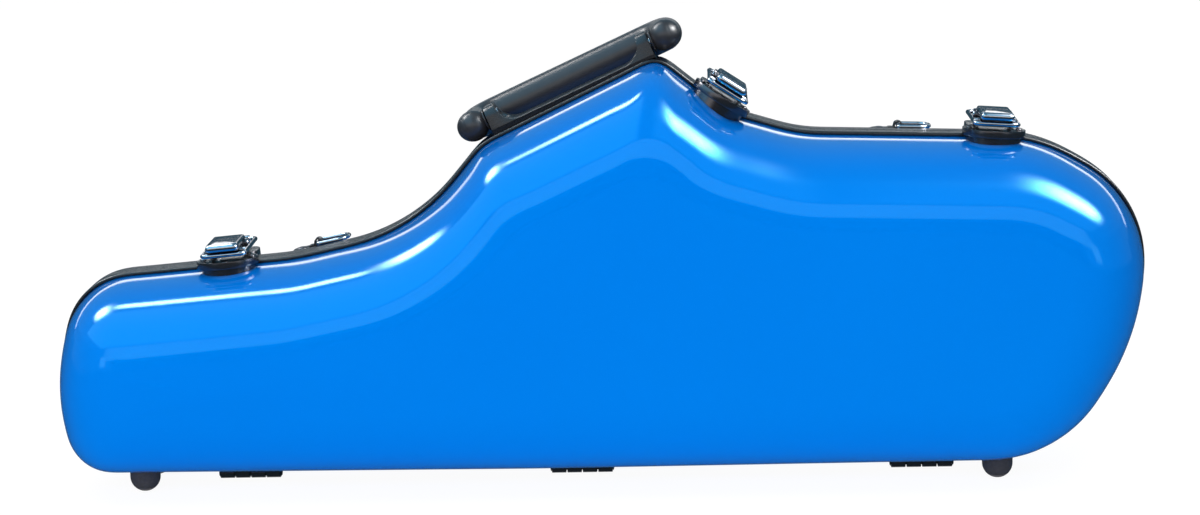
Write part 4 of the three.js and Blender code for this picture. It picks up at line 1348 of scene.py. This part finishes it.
plate_row = (saddle(), "ring_saddle_plate", "black_steel", "base", "ring_saddle")
ring_models = (
    (*plate_row, below(-1 * MM), (moulding["rear"],)),
    (strap_ring(), "ring_bent_wire", "dark_chrome", "ring", "strap_ring"),
)
for place in BOTH_ENDS:
    fit(ring_models, chord_seat(joints[f"ring_{place}_pivot"]["pos_m"]), f"_{place}")
put_away(ring_models)

# %% [markdown]
# ## Hinges
#
# Three butt hinges join the shells below the seam. Each leaf is a plate with rounded corners,
# three screws and two knuckles curled from its edge, and the knuckles of both leaves interleave
# on a pin with riveted ends. The leaf is modelled for the rear side and turned about for the
# front one.

# %% Hinge values
HINGE_WIDTH = 37.5 * MM
KNUCKLES = 4
KNUCKLE = 6.4 * MM
HINGE_PIN = 3 * MM
HINGE_PIN_HEAD = (2.2 * MM, 0.7 * MM)
HINGE_SCREW = (1.7 * MM, 0.6 * MM)
HINGE_SCREW_DEPTH = 7.2 * MM
HINGE_SCREW_PITCH = 13 * MM
LEAF_REACH = 10 * MM
LEAF_THICK = 1.4 * MM
HINGE_HEIGHT = joints["lid_hinge"]["pos_m"][2]


# %% Model and set the hinges
def hinge_leaf(side, top):
    """A leaf whose upper face is `top` above the hinge's axis."""
    inner, low = KNUCKLE / 2 + CLEAR, top - LEAF_THICK
    half = HINGE_WIDTH / 2
    plan = rectangle(half, inner, LEAF_REACH, SHARP, 2.5 * MM)
    leaf = plate(rounded(plan, 0.6 * MM)[0], low, top)
    web = [
        (0, 0, EDGE),
        (0, KNUCKLE / 2, EDGE),
        (inner, top, 0.4 * MM),
        (inner + LEAF_THICK, top, EDGE),
        (inner + LEAF_THICK, low, 0.4 * MM),
        (KNUCKLE / 2, 0, EDGE),
    ]
    pitch = HINGE_WIDTH / KNUCKLES
    for k in range(0 if side > 0 else 1, KNUCKLES, 2):
        x = side * ((k + 0.5) * pitch - half)
        barrel = moved(rod(pitch - CLEAR, KNUCKLE, (0, 0), 0.35 * MM, 40), x)
        curl = side_plate(rounded(web, 0.5 * MM)[0], pitch - CLEAR - 0.4 * MM, x)
        work(leaf, "UNION", barrel, curl)
    spots = [(k * HINGE_SCREW_PITCH, HINGE_SCREW_DEPTH, -low) for k in (-1, 0, 1)]
    work(leaf, "UNION", *(mirrored(dome(*HINGE_SCREW, spot), (1, 1, -1)) for spot in spots))
    work(leaf, "DIFFERENCE", drill(HINGE_PIN + 2 * CLEAR, (0, 0), 2 * HINGE_WIDTH))
    return leaf if side > 0 else stood_up(leaf, ((-1, 0, 0), (0, -1, 0), (0, 0, 1)))


hinge_pin = pin_with_heads(HINGE_WIDTH, HINGE_PIN / 2, *HINGE_PIN_HEAD, (0, 0))
pin_row = (hinge_pin, "hinge_riveted_pin", "black_steel", "base", "hinge_pin")
for place in LATCHES:
    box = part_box(f"hinge_pin_{place}")
    seat = Matrix.Translation(((box[0].x + box[1].x) / 2, 0, HINGE_HEIGHT))
    fit([pin_row], seat, f"_{place}", None)
    for name, side, body in HALVES:
        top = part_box(f"{name}_hinge_leaf_{place}")[1].z - HINGE_HEIGHT
        leaf = hinge_leaf(side, top)
        leaf_row = (leaf, f"{name}_hinge_plate", "black_steel", body, f"{name}_hinge_leaf")
        fit([leaf_row], seat, f"_{place}")
        bpy.data.objects.remove(leaf)
bpy.data.objects.remove(hinge_pin)

# %% [markdown]
# ## Feet
#
# Four rubber feet carry the case. Each is a dome turned on a lathe with a small flat tip, where
# its screw is sunk, and its upper end is cut to the underside of the shell: every corner of that
# end is sent up to the skin above it.

# %% Model and set the feet
FOOT_RADIUS = 9.1 * MM
FOOT_TIP = 3 * MM
FOOT_TOP = 14 * MM
FOOT_SCREW = (
    (0.05 * MM, 0.9 * MM),
    (1.5 * MM, 1.0 * MM),
    (1.7 * MM, 1.4 * MM),
    (1.9 * MM, 1.4 * MM),
    (2.1 * MM, 0.2 * MM),
    (2.4 * MM, 0),
)


def foot():
    start = math.asin(FOOT_TIP / FOOT_RADIUS)
    centre = FOOT_RADIUS * math.cos(start)
    turn = np.linspace(start, math.pi / 2, 16)
    curve = [(FOOT_RADIUS * math.sin(t), centre - FOOT_RADIUS * math.cos(t)) for t in turn]
    return lathe([*FOOT_SCREW, *curve, (FOOT_RADIUS, FOOT_TOP)], 56)


def upper_end(z):
    return z > FOOT_TOP - 1 * MM


model = foot()
for name, side, body in HALVES:
    row = (model, f"{name}_rubber_foot", "foot_rubber", body, f"{name}_foot")
    row += (upper_end, (moulding[name],), -SETTLE_START)
    for place in BOTH_ENDS:
        low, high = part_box(f"{name}_foot_{place}")
        fit([row], Matrix.Translation(((low.x + high.x) / 2, (low.y + high.y) / 2, 0)), f"_{place}")
bpy.data.objects.remove(model)

# %% [markdown]
# ## The studio
#
# A glossy thing shows what stands around it, so product photographers build its surroundings for
# the reflections: bright soft panels where a streak should run, cloths for a gentle lift, and
# dark velvet where the colour should stay deep. Pale blue walls and a ceiling close the room, so
# that no reflection ends in a gap. Here these panels are seen by reflections only. Two plain soft
# lamps give the light itself. The floor is a real surface with a faint shadow, and most of what
# the camera sees of it is its own white glow.


# %% Surroundings
def seen(tree):
    """One for the rays that show things: camera, glossy and transmission rays."""
    path = tree.nodes.new("ShaderNodeLightPath")
    rays = [Field(path.outputs[f"Is {kind} Ray"]) for kind in ("Camera", "Glossy", "Transmission")]
    return rays[0] + rays[1] + rays[2]


WORLD_LIGHT = 0.45

world = bpy.data.worlds.new("studio")
bpy.context.scene.world = world
world.use_nodes = True
backdrop = world.node_tree.nodes["Background"]
strength = WORLD_LIGHT + (1 - WORLD_LIGHT) * seen(world.node_tree)
feed(world.node_tree, backdrop.inputs["Strength"], strength)
backdrop.inputs["Color"].default_value = (1, 1, 1, 1)


# %% Floor
FLAT = (0, 0, 0)
FLOOR_SIZE = (14, 14)
FLOOR_GLOW = 1.1
GLOW_SHARE = 0.4
GLOW_SHARE_MORE_IN_VIEW = 0.46


def studio_plane(name, place, turn, size):
    clear_selection()
    bpy.ops.mesh.primitive_plane_add(size=1, location=place, rotation=turn)
    plane = bpy.context.active_object
    plane.name = name
    plane.scale = (*size, 1)
    bpy.ops.object.transform_apply(location=False, rotation=False, scale=True)
    return plane


floor = studio_plane("studio_floor", (0, 0, 0), FLAT, FLOOR_SIZE)
paper = Finish("studio_paper", (0.9, 0.9, 0.9), 1.0)
glow = paper.tree.nodes.new("ShaderNodeEmission")
glow.inputs["Strength"].default_value = FLOOR_GLOW
mixed = paper.tree.nodes.new("ShaderNodeMixShader")
feed(paper.tree, mixed.inputs[0], GLOW_SHARE + GLOW_SHARE_MORE_IN_VIEW * seen(paper.tree))
paper.tree.links.new(paper.surface.outputs[0], mixed.inputs[1])
paper.tree.links.new(glow.outputs[0], mixed.inputs[2])
paper.tree.links.new(mixed.outputs[0], paper.tree.nodes["Material Output"].inputs["Surface"])
floor.data.materials.append(paper.material)


# %% Panels that only reflections see
def soft_edge(cloth, axis, length, soft):
    """From 0 at a panel's edges to 1 inside them, along one of its own axes."""
    place = cloth.node("ShaderNodeSeparateXYZ", {}, {"Vector": cloth.where}, axis)
    away = cloth.node("ShaderNodeMath", {"operation": "ABSOLUTE"}, {0: place})
    inputs = {"Value": 1 - (2 / length) * away, "From Min": 0.0, "From Max": soft}
    return cloth.node("ShaderNodeMapRange", {"interpolation_type": "SMOOTHSTEP"}, inputs)


def reflected_panel(name, place, turn, size, shows, soft, colour):
    """A panel that shows as bright as given, and fades out over a soft share of its half size."""
    panel = studio_plane(name, place, turn, size)
    fixed = {"Specular IOR Level": 0.0, "Emission Color": (*colour, 1), "Emission Strength": shows}
    cloth = Finish(name, (0, 0, 0), 1.0, 0.0, fixed)
    if soft:
        fade = soft_edge(cloth, 0, size[0], soft) * soft_edge(cloth, 1, size[1], soft)
        cloth.drive("Emission Color", cloth.between(fade, (0, 0, 0), colour))
        cloth.drive("Alpha", fade)
    panel.data.materials.append(cloth.material)
    panel.visible_camera = False
    panel.visible_diffuse = False
    panel.visible_shadow = False


DOWN = (math.pi, 0, 0)
UPRIGHT = (math.pi / 2, 0, 0)
SIDEWAYS = (0, math.pi / 2, 0)
WHITE = (1, 1, 1)
PALE_BLUE = (0.3, 0.7, 1.0)
PANELS = (
    ("floor_velvet", (0, -0.4, 0.002), FLAT, (12, 6.8), 0.1, 0, PALE_BLUE),
    ("rear_cloth", (0, 3.0, 0.43), UPRIGHT, (12, 0.86), 0.12, 0, PALE_BLUE),
    ("rear_strip", (0, 4.6, 1.4), UPRIGHT, (11, 0.3), 2.4, 0, WHITE),
    ("left_wall", (-6.0, 1.55, 1.1), SIDEWAYS, (2.2, 9.3), 0.34, 0, PALE_BLUE),
    ("right_wall", (6.0, 1.55, 1.1), SIDEWAYS, (2.2, 9.3), 0.34, 0, PALE_BLUE),
    ("front_wall", (0, -3.1, 1.1), UPRIGHT, (12, 2.2), 0.4, 0, PALE_BLUE),
    ("ceiling_cloth", (0, 1.55, 2.2), DOWN, (12, 9.3), 0.46, 0, PALE_BLUE),
    ("front_velvet", (0, -2.6, 0.28), UPRIGHT, (3.4, 0.56), 0.0, 0.1, WHITE),
    ("left_card", (-2.4, -2.4, 0.5), UPRIGHT, (1.0, 0.9), 1.6, 0.5, WHITE),
    ("right_card", (2.4, -2.4, 0.5), UPRIGHT, (1.0, 0.9), 1.6, 0.5, WHITE),
    ("front_cloth", (0, -2.7, 1.1), UPRIGHT, (6, 1.2), 1.2, 0.2, WHITE),
    ("left_cloth", (-1.7, -1.1, 1.6), DOWN, (3.2, 3.2), 2.1, 0.2, PALE_BLUE),
    ("right_cloth", (1.6, -1.4, 1.6), DOWN, (3.2, 2.6), 1.3, 0.3, PALE_BLUE),
    ("left_box", (-1.25, 0.5, 1.35), DOWN, (1.2, 0.9), 38, 0.9, WHITE),
    ("left_strip", (-0.62, 0.5, 1.36), DOWN, (0.7, 0.4), 22, 0.9, WHITE),
    ("right_box", (1.45, -0.3, 1.35), DOWN, (2.5, 1.5), 50, 0.9, WHITE),
)
for row in PANELS:
    reflected_panel(*row)
print(len(PANELS), "panels seen by reflections")


# %% Lamps
def soft_lamp(name, place, width, height, power):
    """A large soft lamp that lights the case's middle and isn't seen in reflections."""
    data = bpy.data.lights.new(name, "AREA")
    data.shape = "RECTANGLE"
    data.size = width
    data.size_y = height
    data.energy = power
    lamp = bpy.data.objects.new(name, data)
    lamp.location = place
    lamp.rotation_euler = (Vector(place) - LIT_PLACE).to_track_quat("Z", "Y").to_euler()
    lamp.visible_glossy = False
    bpy.context.scene.collection.objects.link(lamp)
    print(name, power, "W")


LIT_PLACE = Vector((0, 0, 0.12))
soft_lamp("top_lamp", (0.0, -0.6, 1.8), 2.2, 1.2, 16)
soft_lamp("front_lamp", (-0.8, -2.4, 0.75), 1.6, 1.2, 25)

bpy.context.scene.view_settings.view_transform = "Standard"
